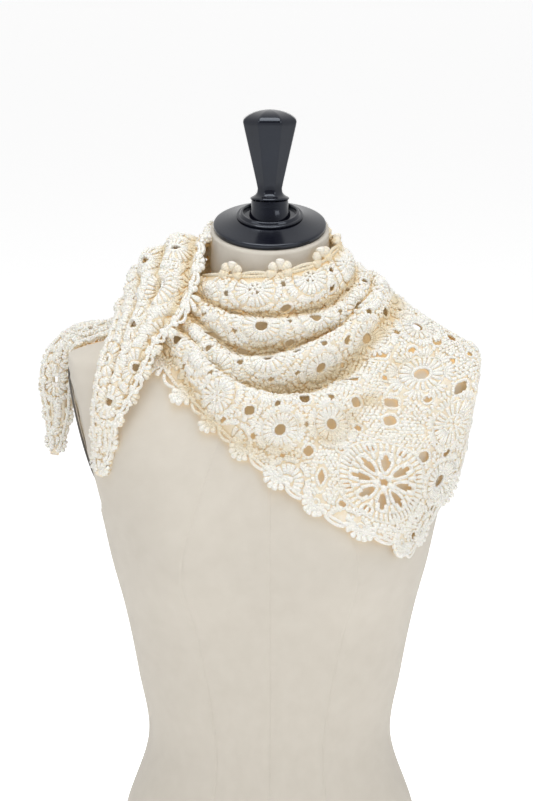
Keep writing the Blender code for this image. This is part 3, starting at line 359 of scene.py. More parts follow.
# The dress form. Sections: height, half width, front and back depth, squareness (mm).
form = {
    "sections": ((16.3, 152, 99, 106, 2.2), (50, 161, 106, 118, 2.3), (110, 152, 103, 112, 2.25),
                 (162, 138, 98, 101, 2.2), (235, 116, 86, 86, 2.1), (300, 125, 94, 90, 2.15),
                 (366, 137, 108, 94, 2.25), (415, 149, 120, 99, 2.3), (450, 156, 120, 103, 2.4),
                 (472, 161, 116.5, 105, 2.45), (483, 164, 114, 106, 2.5), (527, 176, 100, 107, 2.6),
                 (565, 186, 82, 102, 2.6), (590, 191, 70, 94, 2.5), (603, 186, 64, 86, 2.3),
                 (614, 156, 61, 80, 2.1), (630, 112, 58, 71, 2.0), (646, 72, 56, 63, 2.0),
                 (660, 57, 55, 57, 2.0), (690, 54.5, 54.5, 54.5, 2.0), (720, 54, 54, 54, 2.0)),
    "armSide": ((0, 400), (300, 260), (430, 171), (472, 155.2), (483, 157.7), (527, 168.2), (565, 177.2),
                (590, 183.2), (603, 186.3), (640, 196)),
    "neckLean": 16.0, "leanFrom": 600, "neckTop": 720,
    "bust": {"fullness": 13, "height": 432, "spread": 48, "azimuth": 56.0, "width": 17.0},
    "plate": {"centre": 538, "halfHeight": 57, "halfDepth": 44, "thickness": 2.8, "lean": 13.4, "gap": 0.4,
              "cover": 6.2, "coverDepth": 58, "coverHeight": 70},
    "boardInset": 0.985, "around": 264, "levels": 250, "uvRadius": 0.14,
    "seams": ((0, 20, 60), (238, 28, 58), (420, 33, 57), (520, 38, 62), (603, 46, 70), (720, 60, 74)),
    "seamDepth": 0.5, "seamWidth": 1.3, "seamTop": (590, 640),
}


def formRadius(azimuth, height):
    # Distance from the form's axis: a superellipse for each height, fuller at the bust, cut flat at the
    # arms.
    rows = np.array(form["sections"], float)
    section = smoothRows(rows[:, 0] * mm, rows[:, 1:], np.ravel(height))
    half, front, backDepth = (section[:, :3] * mm).T
    square = section[:, 3]
    turn = np.ravel(azimuth)
    across = np.abs(np.cos(turn))
    forward = np.sin(turn)
    depth = np.where(forward > 0, front, backDepth)
    radius = ((across / half) ** square + (np.abs(forward) / depth) ** square) ** (-1 / square)
    bust = form["bust"]
    sideAngle = np.where(forward > 0, np.degrees(np.arctan2(forward, across)), -90)
    beside = np.exp(-(((sideAngle - bust["azimuth"]) / bust["width"]) ** 2))
    level = np.exp(-(((np.ravel(height) - bust["height"] * mm) / (bust["spread"] * mm)) ** 2))
    radius = radius + bust["fullness"] * mm * beside * level
    plane = np.array(form["armSide"], float) * mm
    side = smoothRows(plane[:, 0], plane[:, 1], np.ravel(height))
    radius = np.minimum(radius, side / np.maximum(across, 1e-6))
    return radius.reshape(np.shape(height))


def leaningHeight(azimuth, height, radius):
    # Heights near the neck tip forward: z minus radius * sin(azimuth) * tan(lean), eased in from the
    # shoulder.
    low, high = form["leanFrom"] * mm, form["neckTop"] * mm
    share = np.clip((height - low) / (high - low), 0, 1) ** 1.5
    return height - share * math.tan(math.radians(form["neckLean"])) * radius * np.sin(azimuth)


def roundToSpace(azimuth, radius, height):
    return np.stack([-radius * np.cos(azimuth), -radius * np.sin(azimuth), height + 0 * radius], -1)


def seamAngles(height):
    # Angles of the seams at each height: centre front, the two princess seams, sides and the same behind.
    table = np.array(form["seams"], float)
    inner = smoothRows(table[:, 0] * mm, table[:, 2], height)
    ones = np.ones_like(inner)
    return np.stack([ones * 0, inner, ones * 90, 180 - inner, ones * 180, 180 + inner, ones * 270,
                     360 - inner, ones * 360], -1)


def buildTorso():
    # The linen cover: columns keep to the seams, and each seam is a narrow groove with a soft pucker beside
    # it.
    low, high = form["sections"][0][0] * mm, form["neckTop"] * mm
    levels = np.linspace(low, high, form["levels"])
    shoulder = 603 * mm
    heights = np.unique(np.concatenate([levels, [shoulder - 0.5 * mm, shoulder + 0.5 * mm]]))
    seams = seamAngles(heights)
    panels = seams.shape[1] - 1
    perPanel = form["around"] // panels
    width = form["seamWidth"] * mm / 0.12 * 180 / math.pi
    even = np.linspace(0, 1, perPanel - 5)[1:-1]
    columns, offsets = [], []
    for panel in range(panels):
        start, end = seams[:, panel], seams[:, panel + 1]
        near = np.array([0.0, 0.5, 1.0, 2.0]) * width
        rows = [start + step for step in near]
        rows += [start + 3 * width + (end - start - 6 * width) * share for share in even]
        rows += [end - step for step in near[:0:-1]]
        columns += rows
        offsets += [*near, *([99.0] * len(even)), *near[:0:-1]]
    degrees = np.stack(columns, -1)
    azimuth = np.radians(degrees)
    height = heights[:, None] + 0 * azimuth
    radius = formRadius(azimuth, height)
    groove = form["seamDepth"] * mm * np.exp(-((np.array(offsets) / width / 0.6) ** 2))
    bottom, top = form["seamTop"]
    fade = np.clip((top * mm - heights) / ((top - bottom) * mm), 0, 1)
    radius = radius - groove[None, :] * fade[:, None]
    points = roundToSpace(azimuth, radius, leaningHeight(azimuth, height, radius))
    torso = turnedPiece("linenTorso", points, linen)
    quads = gridFaces(len(heights), azimuth.shape[1], wrap=True)
    around = azimuth * form["uvRadius"]
    count = azimuth.shape[1]
    flat = np.stack([around, height], -1).reshape(-1, 2)
    layer = torso.data.uv_layers["surface"]
    corner = np.empty(len(torso.data.loops), np.int32)
    torso.data.loops.foreach_get("vertex_index", corner)
    uv = flat[corner]
    lastColumn = (corner[: len(quads) * 4].reshape(-1, 4) % count).max(1) == count - 1
    firstColumn = (corner[: len(quads) * 4].reshape(-1, 4) % count).min(1) == 0
    wrapped = np.repeat(lastColumn & firstColumn, 4)
    shift = np.zeros(len(uv))
    atSeam = wrapped & (corner[: len(wrapped)] % count == 0)
    shift[: len(wrapped)] = np.where(atSeam, 2 * math.pi * form["uvRadius"], 0)
    uv[:, 0] += shift
    layer.data.foreach_set("uv", uv.astype(np.float32).ravel())
    return torso


def turnedRings(profile, sides, leaning=True, axis=(0.0, 0.0), shape=None):
    # Rings of a turned piece; shape(angle) scales the radius, as for a faceted knob.
    turn = np.linspace(0, 2 * math.pi, sides, endpoint=False)
    if shape is not None:
        places = np.array(turned["facetPlaces"])
        turn = np.radians((np.arange(turned["facets"])[:, None] * 45 + places[None]).ravel())
    table = np.array(profile, float)
    scale = np.ones((len(table), sides)) if shape is None else shape(turn[None, :], table[:, :1])
    x = np.cos(turn)[None] * table[:, 1:] * scale
    y = np.sin(turn)[None] * table[:, 1:] * scale
    z = table[:, :1] + 0 * x
    if leaning:
        lean = math.radians(form["neckLean"])
        upward = np.array([0, -math.sin(lean), math.cos(lean)])
        backward = np.array([0, math.cos(lean), math.sin(lean)])
        top = np.array([0, 0, form["neckTop"]])
        return (top + x[..., None] * (1, 0, 0) + y[..., None] * backward + z[..., None] * upward) * mm
    return np.stack([x + axis[0], y + axis[1], z], -1) * mm


torso = buildTorso()
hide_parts("torso")
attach(torso, "root")
print("form covered in linen")

# The turned pieces on the neck. Profiles: height, radius (mm).
turned = {
    "cap": ((0.3, 0.5), (0.3, 50.4), (0.5, 51.1), (1.0, 51.4), (4.4, 51.5), (5.0, 51.2), (5.4, 50.4), (5.9, 48.6),
            (6.9, 44.6), (8.2, 40.0), (9.6, 35.4), (11.0, 31.6), (11.5, 30.4), (11.5, 0.5)),
    "ring": ((11.8, 0.5), (11.8, 29.4), (12.1, 30.2), (12.8, 30.6), (13.7, 30.5), (14.3, 29.9), (14.5, 28.9),
             (14.4, 28.0), (14.9, 27.4), (15.9, 27.0), (16.5, 26.4), (16.7, 25.4), (16.4, 24.5), (15.4, 24.0),
             (13.6, 23.6), (13.6, 0.5)),
    "stem": ((733.2, 0.5), (733.2, 18.9), (735.0, 18.5), (736.5, 17.8), (738.2, 17.3), (741.0, 17.0),
             (744.5, 16.9), (746.0, 16.7), (746.4, 16.2), (746.4, 0.5)),
    "knob": ((746.7, 0.5), (746.7, 16.0), (746.9, 17.0), (747.4, 17.6), (748.0, 17.8), (748.7, 17.5), (749.3, 16.6),
             (750.2, 14.8), (751.6, 13.0), (753.6, 12.0), (757.0, 11.7), (764.0, 13.2), (780.0, 17.0),
             (800.0, 21.8), (814.0, 25.1), (817.5, 25.8), (819.3, 25.4), (821.4, 23.4), (823.6, 20.0),
             (825.6, 15.2), (827.0, 9.8), (827.8, 4.6), (828.1, 0.5)),
    "knobAxis": (0.0, -4.4), "around": 96, "stemAround": 64, "stemFoot": (736.5, 3.3), "facets": 8, "facetFrom": 751.0, "facetFull": 757.0,
    "facetPlaces": (-22.5, -21.7, -20.7, -18, -12, -6, 0, 6, 12, 18, 20.7, 21.7),
}


def knobFacets(turn, height):
    # Eight flats with softly rounded edges: radius * cos(22.5) / cos(angle from the middle of the flat).
    half = math.pi / turned["facets"]
    fromMiddle = (turn + half) % (2 * half) - half
    flat = math.cos(half) / np.cos(fromMiddle) * 1.012
    soft = np.minimum(flat, 1.0)
    rising = np.clip((height - turned["facetFrom"]) / (turned["facetFull"] - turned["facetFrom"]), 0, 1)
    return 1 + (soft - 1) * rising


def slantFoot(rings):
    # The stem's foot is cut to the slope of the ring under it.
    slope = math.tan(math.radians(form["neckLean"]))
    top, depth = turned["stemFoot"]
    share = np.clip((top * mm - rings[..., 2]) / (depth * mm), 0, 1)
    rings[..., 2] += (rings[..., 1] - turned["knobAxis"][1] * mm) * slope * np.minimum(share * 1.4, 1)
    return rings


cap = turnedPiece("lacquerCap", turnedRings(turned["cap"], turned["around"]), lacquer)
ring = turnedPiece("lacquerRing", turnedRings(turned["ring"], turned["around"]), lacquer)
stemRings = slantFoot(turnedRings(turned["stem"], turned["stemAround"], False, turned["knobAxis"]))
stem = turnedPiece("lacquerStem", stemRings, lacquer)
knobRings = turnedRings(turned["knob"], turned["around"], False, turned["knobAxis"], knobFacets)
knob = turnedPiece("lacquerKnob", knobRings, lacquer)
for piece, node in ((cap, "neck_cap"), (ring, "cap_ring"), (stem, "knob_stem"), (knob, "knob")):
    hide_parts(node)
    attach(piece, "root")
    piece.data.set_sharp_from_angle(angle=math.radians(38))
print("neck cap and knob turned")


def buildPlate(name, side, face, rim):
    # An oval plate with rounded edges, flat against the armhole and leaning with it.
    plate = form["plate"]
    lean = math.radians(plate["lean"])
    plane = np.array(form["armSide"], float)
    surface = smoothRows(plane[:, 0], plane[:, 1], plate["centre"])[0]
    along = np.array([math.sin(lean), 0, math.cos(lean)])
    outward = np.array([math.cos(lean), 0, -math.sin(lean)])
    around = 128
    turn = np.linspace(0, 2 * math.pi, around, endpoint=False)
    gap, thick = plate["gap"], plate["thickness"]
    profile = np.array([(gap, 0.02), (gap, 0.98), (gap + 0.3, 0.993), (gap + 0.8, 1.0), (thick - 0.8, 1.0),
                        (thick - 0.35, 0.995), (thick - 0.08, 0.984), (thick, 0.968), (thick, 0.92),
                        (thick - 0.25, 0.905), (thick - 0.25, 0.02)])
    middle = np.array([surface, 0, plate["centre"]])
    rings = middle + profile[:, :1, None] * outward
    upward = np.sin(turn)[None, :] * plate["halfHeight"] * profile[:, 1:]
    backward = np.cos(turn)[None, :] * plate["halfDepth"] * profile[:, 1:]
    rings = rings + upward[..., None] * along
    rings = rings + backward[..., None] * np.array([0, 1, 0])
    made = turnedPiece(name, rings * mm * (side, 1, 1), face)
    made.data.materials.append(rim)
    edge = np.zeros(len(made.data.polygons), np.int32)
    edge[around * 2:around * 7] = 1  # the rounded rim
    made.data.polygons.foreach_set("material_index", edge)
    made.data.set_sharp_from_angle(angle=math.radians(50))
    return made


plateFace = plateMaterial("plateFace", (0.66, 0.61, 0.54), (0.59, 0.54, 0.47))
plateRim = plateMaterial("plateRim", (0.10, 0.085, 0.07), (0.05, 0.045, 0.04))
for name, side, node in (("armPlateLeft", -1, "arm_plate_left"), ("armPlateRight", 1, "arm_plate_right")):
    piece = buildPlate(name, side, plateFace, plateRim)
    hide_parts(node)
    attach(piece, "root")


def buildBoard():
    # A flat board of the form's own outline with rounded edges; the profile is share of the radius by
    # height.
    around = 200
    turn = np.linspace(0, 2 * math.pi, around, endpoint=False)
    foot = form["sections"][0][0] * mm
    outline = formRadius(turn, np.full(around, foot)) * form["boardInset"]
    profile = ((0, 0.05), (0, 0.975), (0.5, 0.985), (2, 0.997), (3.5, 1.0), (12.5, 1.0), (14.2, 0.998), (15.4, 0.993),
               (16, 0.985), (16, 0.05))
    rings = [roundToSpace(turn, outline * share, np.full(around, height * mm)) for height, share in profile]
    return turnedPiece("footBoard", np.stack(rings), woodMaterial())


board = buildBoard()
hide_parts("base_board")
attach(board, "root")
print("arm plates and board made")

# The shawl round the neck. Fold lines from the neck edge down: radius, then height (mm), at each azimuth.
shawl = {
    "azimuths": (25, 45, 65, 90, 115, 140, 160, 180, 210, 245, 285, 335),
    "radii": ((66, 65, 64, 64, 64, 63, 62, 62, 63, 66, 66, 66), (72, 74, 75, 75, 76, 75, 74, 74, 76, 78, 77, 74),
              (74, 72, 68, 66, 68, 72, 76, 78, 80, 80, 78, 78), (82, 83, 82, 81, 83, 85, 88, 88, 90, 92, 90, 88),
              (82, 79, 72, 70, 74, 82, 90, 92, 92, 92, 88, 86), (92, 92, 90, 90, 94, 98, 102, 102, 104, 104, 100, 98),
              (94, 90, 85, 81, 84, 98, 110, 114, 112, 106, 100, 98),
              (105, 104, 105, 104, 108, 116, 124, 128, 122, 116, 110, 108)),
    "heights": ((680, 684, 684, 686, 690, 696, 701, 703, 706, 706, 703, 698),
                (674, 670, 669, 668, 672, 680, 688, 692, 696, 694, 692, 690),
                (664, 657, 651, 648, 650, 657, 669, 677, 684, 680, 678, 680),
                (662, 655, 649, 646, 647, 654, 667, 676, 682, 678, 676, 678),
                (651, 635, 617, 615, 624, 638, 656, 665, 672, 668, 664, 669),
                (651, 635, 615, 614, 626, 644, 662, 671, 672, 666, 661, 665),
                (641, 621, 596, 580, 582, 604, 638, 652, 655, 645, 639, 651),
                (641, 624, 600, 583, 582, 598, 628, 643, 648, 638, 632, 648)),
    "hem": ((25, 615), (29, 610), (40, 588), (56, 566), (71, 543), (88, 520), (104, 496), (118, 473), (134, 455),
            (145, 437), (155, 462), (162, 488), (167, 514), (173, 552), (180, 574), (192, 580), (210, 578),
            (230, 583), (255, 594), (280, 606), (305, 619), (325, 631), (335, 640)),
    "start": 25.0, "seam": 186.0, "end": 335.0, "stations": 125, "lengthStep": 2.0,
    "below": (12, 24, 36, 48, 60, 72, 86, 102, 120, 140, 165, 195, 230, 270),
    "softWave": 2.6, "normalEase": 5,
    "taut": (0.5, 0.4, 0.35, 0.3, 0.35, 0.5, 0.9, 1.0, 0.9, 0.7, 0.7, 0.6),
    "slopes": (0.08, 0.08, 0.08, 0.08, 0.10, 0.16, 0.18, 0.18, 0.12, 0.10, 0.10, 0.10),
    "flatNeck": 64, "fan": (0.42, 0.26, 0.20, 0.20, 0.26, 0.32, 0.46, 0.60, 0.48, 0.32, 0.32, 0.42),
    "clearance": 2.3, "shoulderEase": 1.6, "overlap": 4.6, "rest": 2.6,
}


def concaveString(drop, radius):
    # Radii of a string pulled tight over the points from the first to the last.
    kept = [0]
    for index in range(1, len(drop)):
        while len(kept) > 1:
            a, b = kept[-2], kept[-1]
            if (radius[b] - radius[a]) * (drop[index] - drop[a]) > (radius[index] - radius[a]) * (drop[b] - drop[a]):
                break
            kept.pop()
        kept.append(index)
    return np.interp(drop, drop[kept], radius[kept])


def gridNormals(points):
    # Cross product of the grid's two directions, eased along its columns so that the cloth turns gently.
    normal = unit(np.cross(np.gradient(points, axis=1), np.gradient(points, axis=0)))
    for _ in range(shawl["normalEase"]):
        padded = np.concatenate([normal[:, :1], normal, normal[:, -1:]], axis=1)
        normal = (padded[:, :-2] + 2 * padded[:, 1:-1] + padded[:, 2:]) / 4
    return unit(normal)


def shawlSurface():
    # Grid of the cloth: fold lines by table, then a panel that hangs free over the form to the hem.
    degrees = np.linspace(shawl["start"], shawl["end"], shawl["stations"])
    azimuth = np.radians(degrees)
    foldR = smoothRows(shawl["azimuths"], np.array(shawl["radii"], float).T * mm, degrees)
    foldZ = smoothRows(shawl["azimuths"], np.array(shawl["heights"], float).T * mm, degrees)
    taut = smoothRows(shawl["azimuths"], shawl["taut"], degrees)
    swing = smoothRows(shawl["azimuths"], shawl["slopes"], degrees)
    hemZ = np.interp(degrees, *np.array(shawl["hem"], float).T) * mm
    plate = form["plate"]
    side = np.array(form["armSide"], float) * mm
    level = np.arange(0.735, 0.33, -0.001)
    formLevel = np.arange(0.712, 0.32, -0.001)
    below = np.array(shawl["below"], float)
    lower = np.empty((len(degrees), len(below), 2))
    for column, turn in enumerate(azimuth):
        radius = formRadius(np.full(len(formLevel), turn), formLevel)
        beside = formRadius(np.full(len(formLevel), turn + 0.02), formLevel)
        height = leaningHeight(turn, formLevel, radius)
        slope = np.clip(np.gradient(radius, height), -6, 6)
        bend = (beside - radius) / 0.02 / radius
        clear = shawl["clearance"] + shawl["shoulderEase"] * math.exp(-(((degrees[column] - shawl["start"]) / 12) ** 2))
        radius = radius + clear * mm * np.sqrt(1 + slope**2 + bend**2)
        over = (np.interp(height, side[:, 0], side[:, 1]) + plate["cover"] * mm) / max(abs(math.cos(turn)), 1e-6)
        depth = (over * math.sin(turn) / (plate["coverDepth"] * mm)) ** 2
        covered = depth + ((height - plate["centre"] * mm) / (plate["coverHeight"] * mm)) ** 2 < 1
        radius = np.where(covered, np.maximum(radius, over), radius)
        onForm = np.interp(-level, -height, radius)
        startR, startZ = foldR[column, -1], foldZ[column, -1]
        drop = np.arange(0, startZ - 0.335, 0.001)
        line = np.interp(-(startZ - drop), -level, onForm)
        line[0] = max(startR, line[0])
        inward = swing[column] * drop
        hang = np.maximum.accumulate(line + inward) - inward
        last = int(np.clip((startZ - hemZ[column]) / 0.001 - 6, 20, len(drop) - 1))
        tight = hang.copy()
        tight[:last + 1] = concaveString(drop[:last + 1], hang[:last + 1])
        tight[last:] = np.maximum(hang[last:], tight[last] - swing[column] * (drop[last:] - drop[last]))
        radius = hang + taut[column] * (tight - hang)
        run = np.concatenate([[0], np.cumsum(np.hypot(np.diff(radius), 0.001))])
        lower[column, :, 0] = np.interp(below * mm, run, radius)
        lower[column, :, 1] = startZ - np.interp(below * mm, run, drop)
    for _ in range(3):
        padded = np.concatenate([lower[:1], lower, lower[-1:]])
        lower = (padded[:-2] + 2 * padded[1:-1] + padded[2:]) / 4
    ripple = 0.5 + 0.5 * np.sin(azimuth[:, None] * 7 + below / 31)
    calm = 1 - 0.7 * np.exp(-(((degrees - 178) / 26) ** 2))
    lower[:, :, 0] += shawl["softWave"] * mm * np.clip(below / 60, 0, 1) * ripple * calm[:, None]
    rim = np.stack([foldR[:, 0] - 3 * mm, foldZ[:, 0] + 15 * mm], -1)[:, None]
    controls = np.concatenate([rim, np.stack([foldR, foldZ], -1), lower], 1)
    length = np.arange(-14, 420, shawl["lengthStep"]) * mm
    grid = np.empty((len(degrees), len(length), 2))
    hemLength = np.empty(len(degrees))
    folds = foldR.shape[1]
    for column in range(len(degrees)):
        points = controls[column]
        key = np.concatenate([[0], np.cumsum(np.linalg.norm(np.diff(points, axis=0), axis=1) ** 0.75)])
        dense = smoothRows(key, points, np.linspace(0, key[-1], 700))
        run = np.concatenate([[0], np.cumsum(np.linalg.norm(np.diff(dense, axis=0), axis=1))])
        edge, crest = np.interp(key[[1, folds]], np.linspace(0, key[-1], 700), run)
        grid[column, :, 0] = np.interp(length + edge, run, dense[:, 0])
        grid[column, :, 1] = np.interp(length + edge, run, dense[:, 1])
        low = run >= crest
        hemLength[column] = np.interp(-hemZ[column], -dense[low, 1], run[low]) - edge
    points = roundToSpace(azimuth[:, None], grid[..., 0], grid[..., 1])
    return {"points": points, "normals": gridNormals(points), "rows": azimuth, "columns": length, "hem": hemLength}


def valleyShade(grid, reach, depth):
    # How deep each point lies in a fold: the mean of the points on both sides, measured along the normal. The wool is
    # painted darker by this much, as painted shade in the fold valleys.
    padded = np.pad(grid["points"], ((0, 0), (reach, reach), (0, 0)), mode="edge")
    around = (padded[:, 2 * reach:] + padded[:, :-2 * reach]) / 2
    sunk = np.sum((around - grid["points"]) * grid["normals"], axis=-1) / (depth * mm)
    return np.clip(sunk, 0, 1)[..., None]


def creased(grid, flat, lines, facing=1.0):
    # Moves the cloth along its normals by a soft ridge or trough along each crease, fading at its ends.
    move = np.zeros(flat.shape[:2])
    for a, b, width, height in lines:
        along = b - a
        t = np.clip(((flat - a) @ along) / (along @ along), 0, 1)
        away = np.linalg.norm(flat - a - t[..., None] * along, axis=-1)
        move += height * mm * np.exp(-((away / (width * mm)) ** 2)) * np.sin(math.pi * np.clip(t, 0.02, 0.98)) ** 0.6
    grid["points"] = grid["points"] + grid["normals"] * move[..., None]
    grid["normals"] = gridNormals(grid["points"]) * facing
    return grid


def sampleGrid(surface, row, column):
    # Points and normals between the grid's points, by two-way linear interpolation.
    i = np.interp(row, surface["rows"], np.arange(len(surface["rows"])))
    j = np.interp(column, surface["columns"], np.arange(len(surface["columns"])))
    i0 = np.clip(i.astype(int), 0, len(surface["rows"]) - 2)
    j0 = np.clip(j.astype(int), 0, len(surface["columns"]) - 2)
    a, b = (i - i0)[..., None], (j - j0)[..., None]
    found = []
    for field in ("points", "normals", "shade"):
        grid = surface[field]
        near = grid[i0, j0] * (1 - b) + grid[i0, j0 + 1] * b
        far = grid[i0 + 1, j0] * (1 - b) + grid[i0 + 1, j0 + 1] * b
        found.append(near * (1 - a) + far * a)
    return found[0], unit(found[1]), found[2][..., 0]


def flatBase():
    # The neck edge in the flat cloth: a curve whose turn is the running sum of the fan at each azimuth.
    azimuth = np.radians(np.linspace(0, 360, 721))
    fan = smoothRows(shawl["azimuths"], shawl["fan"], np.clip(np.degrees(azimuth), shawl["start"], shawl["end"]))
    step = azimuth[1] - azimuth[0]
    turn = np.concatenate([[0], np.cumsum((fan[1:] + fan[:-1]) / 2 * step)])
    speed = shawl["flatNeck"] * mm * step
    x = np.concatenate([[0], np.cumsum(-np.sin((turn[1:] + turn[:-1]) / 2) * speed)])
    y = np.concatenate([[0], np.cumsum(np.cos((turn[1:] + turn[:-1]) / 2) * speed)])
    return azimuth, turn, x, y


flatEdge = flatBase()


def clothFlat(azimuth, length):
    rows, turns, x, y = flatEdge
    turn = np.interp(azimuth, rows, turns)
    return np.stack([np.interp(azimuth, rows, x) + length * np.cos(turn),
                     np.interp(azimuth, rows, y) + length * np.sin(turn)], -1)


def clothRound(flat):
    # Azimuth and length of points in the flat cloth, by halving until the point lies on the azimuth's line.
    rows, turns, x, y = flatEdge
    low = np.zeros(flat.shape[:-1])
    high = np.full(flat.shape[:-1], rows[-1])
    for _ in range(32):
        middle = (low + high) / 2
        turn = np.interp(middle, rows, turns)
        aside = -(flat[..., 0] - np.interp(middle, rows, x)) * np.sin(turn)
        aside = aside + (flat[..., 1] - np.interp(middle, rows, y)) * np.cos(turn)
        low = np.where(aside > 0, middle, low)
        high = np.where(aside > 0, high, middle)
    turn = np.interp(middle, rows, turns)
    length = (flat[..., 0] - np.interp(middle, rows, x)) * np.cos(turn)
    return middle, length + (flat[..., 1] - np.interp(middle, rows, y)) * np.sin(turn)


# Motifs in the flat cloth (mm): eyes, bridges and corners of the medallions, the open star, and wide gaps.
lace = {
    "pitch": 48, "eye": 5.2, "bridgeEye": 3.7, "cornerEye": 5.4, "bridgeAt": 24, "cornerAt": 34, "turn": 33.0,
    "medallions": ((95, 204), (120, 130), (157.5, 160)),
    "gaps": ((60, 156, 5.2, 1.2, 60), (112.5, 250, 3.8, 1.8, 20), (122.5, 222, 5.4, 1.1, 80),
             (142.5, 196, 4.8, 1.2, 0), (155, 218, 5.6, 1.3, 40), (137.5, 27, 4.2, 1.2, 90),
             (37.5, 94, 4.6, 1.2, 45)),
    "star": {"azimuth": 135.0, "length": 252, "radius": 40, "petals": 8, "eye": 4.4, "loop": 4.2, "loopAt": 18,
             "gap": 3.8, "gapAt": 31},
    "holeSpacing": 3.4, "longest": 380,
    "firstPanel": 52, "yarn": 1.5, "webThickness": 1.0, "lift": 0.5, "border": 8.0,
    "fillStep": 3.5, "sides": 6, "fillRoom": 2.4,
}
flowers = {
    "hem": {"pitch": 43, "first": 0.42, "shift": -4.0, "near": 7.5, "far": 14.2, "size": 2.6, "petals": 9,
            "spread": 104, "posts": 12, "half": 12.5},
    "neck": {"pitch": 38, "first": 0.8, "shift": 2.0, "near": 2.2, "far": 11.4, "size": 4.0, "petals": 5,
             "spread": 102, "posts": 0, "half": 10.5},
    "end": {"pitch": 24, "first": 0.5, "shift": -2.0, "near": 3.0, "far": 9.0, "size": 2.3, "petals": 6,
            "spread": 92, "posts": 0, "half": 8.0},
}


def starOpenings(star):
    spec = lace["star"]
    found = [(star, spec["eye"], 1.0, 0.0)]
    for petal in range(spec["petals"]):
        angle = 2 * math.pi * (petal + 0.5) / spec["petals"]
        ray = np.array([math.cos(angle), math.sin(angle)])
        found.append((star + ray * spec["loopAt"] * mm, spec["loop"], 1.9, angle))
        angle = 2 * math.pi * petal / spec["petals"]
        ray = np.array([math.cos(angle), math.sin(angle)])
        found.append((star + ray * spec["gapAt"] * mm, spec["gap"], 1.0, angle))
    return found


def medallionOpenings(middles):
    found = [(middle, lace["eye"], 1.0, 0.0) for middle in middles]
    for reach, radius, first in ((lace["bridgeAt"], lace["bridgeEye"], 0), (lace["cornerAt"], lace["cornerEye"], 45)):
        for middle in middles:
            for quarter in range(4):
                angle = math.radians(lace["turn"] + first + 90 * quarter)
                ray = np.array([math.cos(angle), math.sin(angle)])
                found.append((middle + ray * reach * mm, radius, 1.0, angle))
    return found


def spacedOpenings(kept, candidates):
    # Adds each opening that leaves enough yarn between itself and those already placed.
    kept = list(kept)
    for hole in candidates:
        middles = np.array([other[0] for other in kept])
        reach = np.array([other[1] * other[2] for other in kept])
        if (np.linalg.norm(middles - hole[0], axis=1) / mm - reach - hole[1] > lace["holeSpacing"]).all():
            kept.append(hole)
    return kept


def shawlMotifs():
    # Middles of the medallions and all openings of the cloth round the neck.
    spec = lace["star"]
    star = clothFlat(math.radians(spec["azimuth"]), spec["length"] * mm)
    shown = [clothFlat(math.radians(turn), length * mm) for turn, length in lace["medallions"]]
    c, s = math.cos(math.radians(lace["turn"])), math.sin(math.radians(lace["turn"]))
    axes = np.array([[c, s], [-s, c]]) * lace["pitch"] * mm
    taken = np.array([star, *shown])
    room = np.array([spec["radius"] + lace["cornerAt"] / 2] + [lace["pitch"] * 0.86] * len(shown)) * mm
    middles = list(shown)
    for i in range(-14, 15):
        for j in range(-14, 15):
            node = shown[0] + i * axes[0] + j * axes[1]
            turn, length = clothRound(node[None])
            onCloth = math.radians(shawl["start"]) < turn[0] < math.radians(shawl["end"])
            onCloth = onCloth and 0 < length[0] < lace["longest"] * mm
            if onCloth and (np.linalg.norm(taken - node, axis=1) > room).all():
                middles.append(node)
    kept = starOpenings(star)
    for turn, length, radius, stretch, lean in lace["gaps"]:
        kept.append((clothFlat(math.radians(turn), length * mm), radius, stretch, math.radians(lean)))
    count = len(shown)
    return star, np.array(middles), spacedOpenings(kept, medallionOpenings(middles[:count])
                                                   + medallionOpenings(middles[count:]))


def openingRoom(points, openings):
    # Distance in mm from each flat point to the nearest opening, less than zero inside it.
    best = np.full(points.shape[:-1], 99.0)
    for middle, radius, stretch, turn in openings:
        away = (points - middle) / mm
        along = (away[..., 0] * math.cos(turn) + away[..., 1] * math.sin(turn)) / stretch
        aside = -away[..., 0] * math.sin(turn) + away[..., 1] * math.cos(turn)
        best = np.minimum(best, np.hypot(along, aside) - radius)
    return best


def lineRoom(points, line):
    # Distance in mm from each flat point to a polyline.
    best = np.full(points.shape[:-1], 1e9)
    for a, b in zip(line[:-1], line[1:]):
        along = b - a
        t = np.clip(((points - a) @ along) / max(along @ along, 1e-12), 0, 1)
        best = np.minimum(best, np.linalg.norm(points - a - t[..., None] * along, axis=-1))
    return best / mm


# A stroke is a piece of yarn in the flat cloth: columns x, y, height over the cloth and yarn radius (mm).
def stroke(x, y, height, radius):
    return np.stack(np.broadcast_arrays(x, y, height, radius), -1).astype(float)


def ringStroke(radius, count, yarnRadius, bead=0.12, stretch=1.0, corners=0.0):
    # A closed round of chain stitches: a circle, or a cushion with four corners, whose yarn swells at each
    # stitch.
    angle = np.linspace(0, 2 * math.pi, count, endpoint=False)
    radius = radius * (1 + corners * np.cos(4 * angle))
    swell = yarnRadius * (1 + bead * np.cos(math.pi * np.arange(count)))
    return stroke(radius * stretch * np.cos(angle), radius * np.sin(angle), 0.15 * np.cos(math.pi * np.arange(count)),
                  swell)


def rayStrokes(angles, near, far, radii, heights, bow=0.0):
    # Posts along rays: each runs from the near to the far radius, thicker and higher in its middle.
    share = np.linspace(0, 1, len(radii))
    r = near + (far - near) * share
    aside = bow * np.sin(math.pi * share)
    c, s = np.cos(angles)[:, None], np.sin(angles)[:, None]
    return stroke(r * c - aside * s, r * s + aside * c, np.array(heights)[None], np.array(radii)[None])


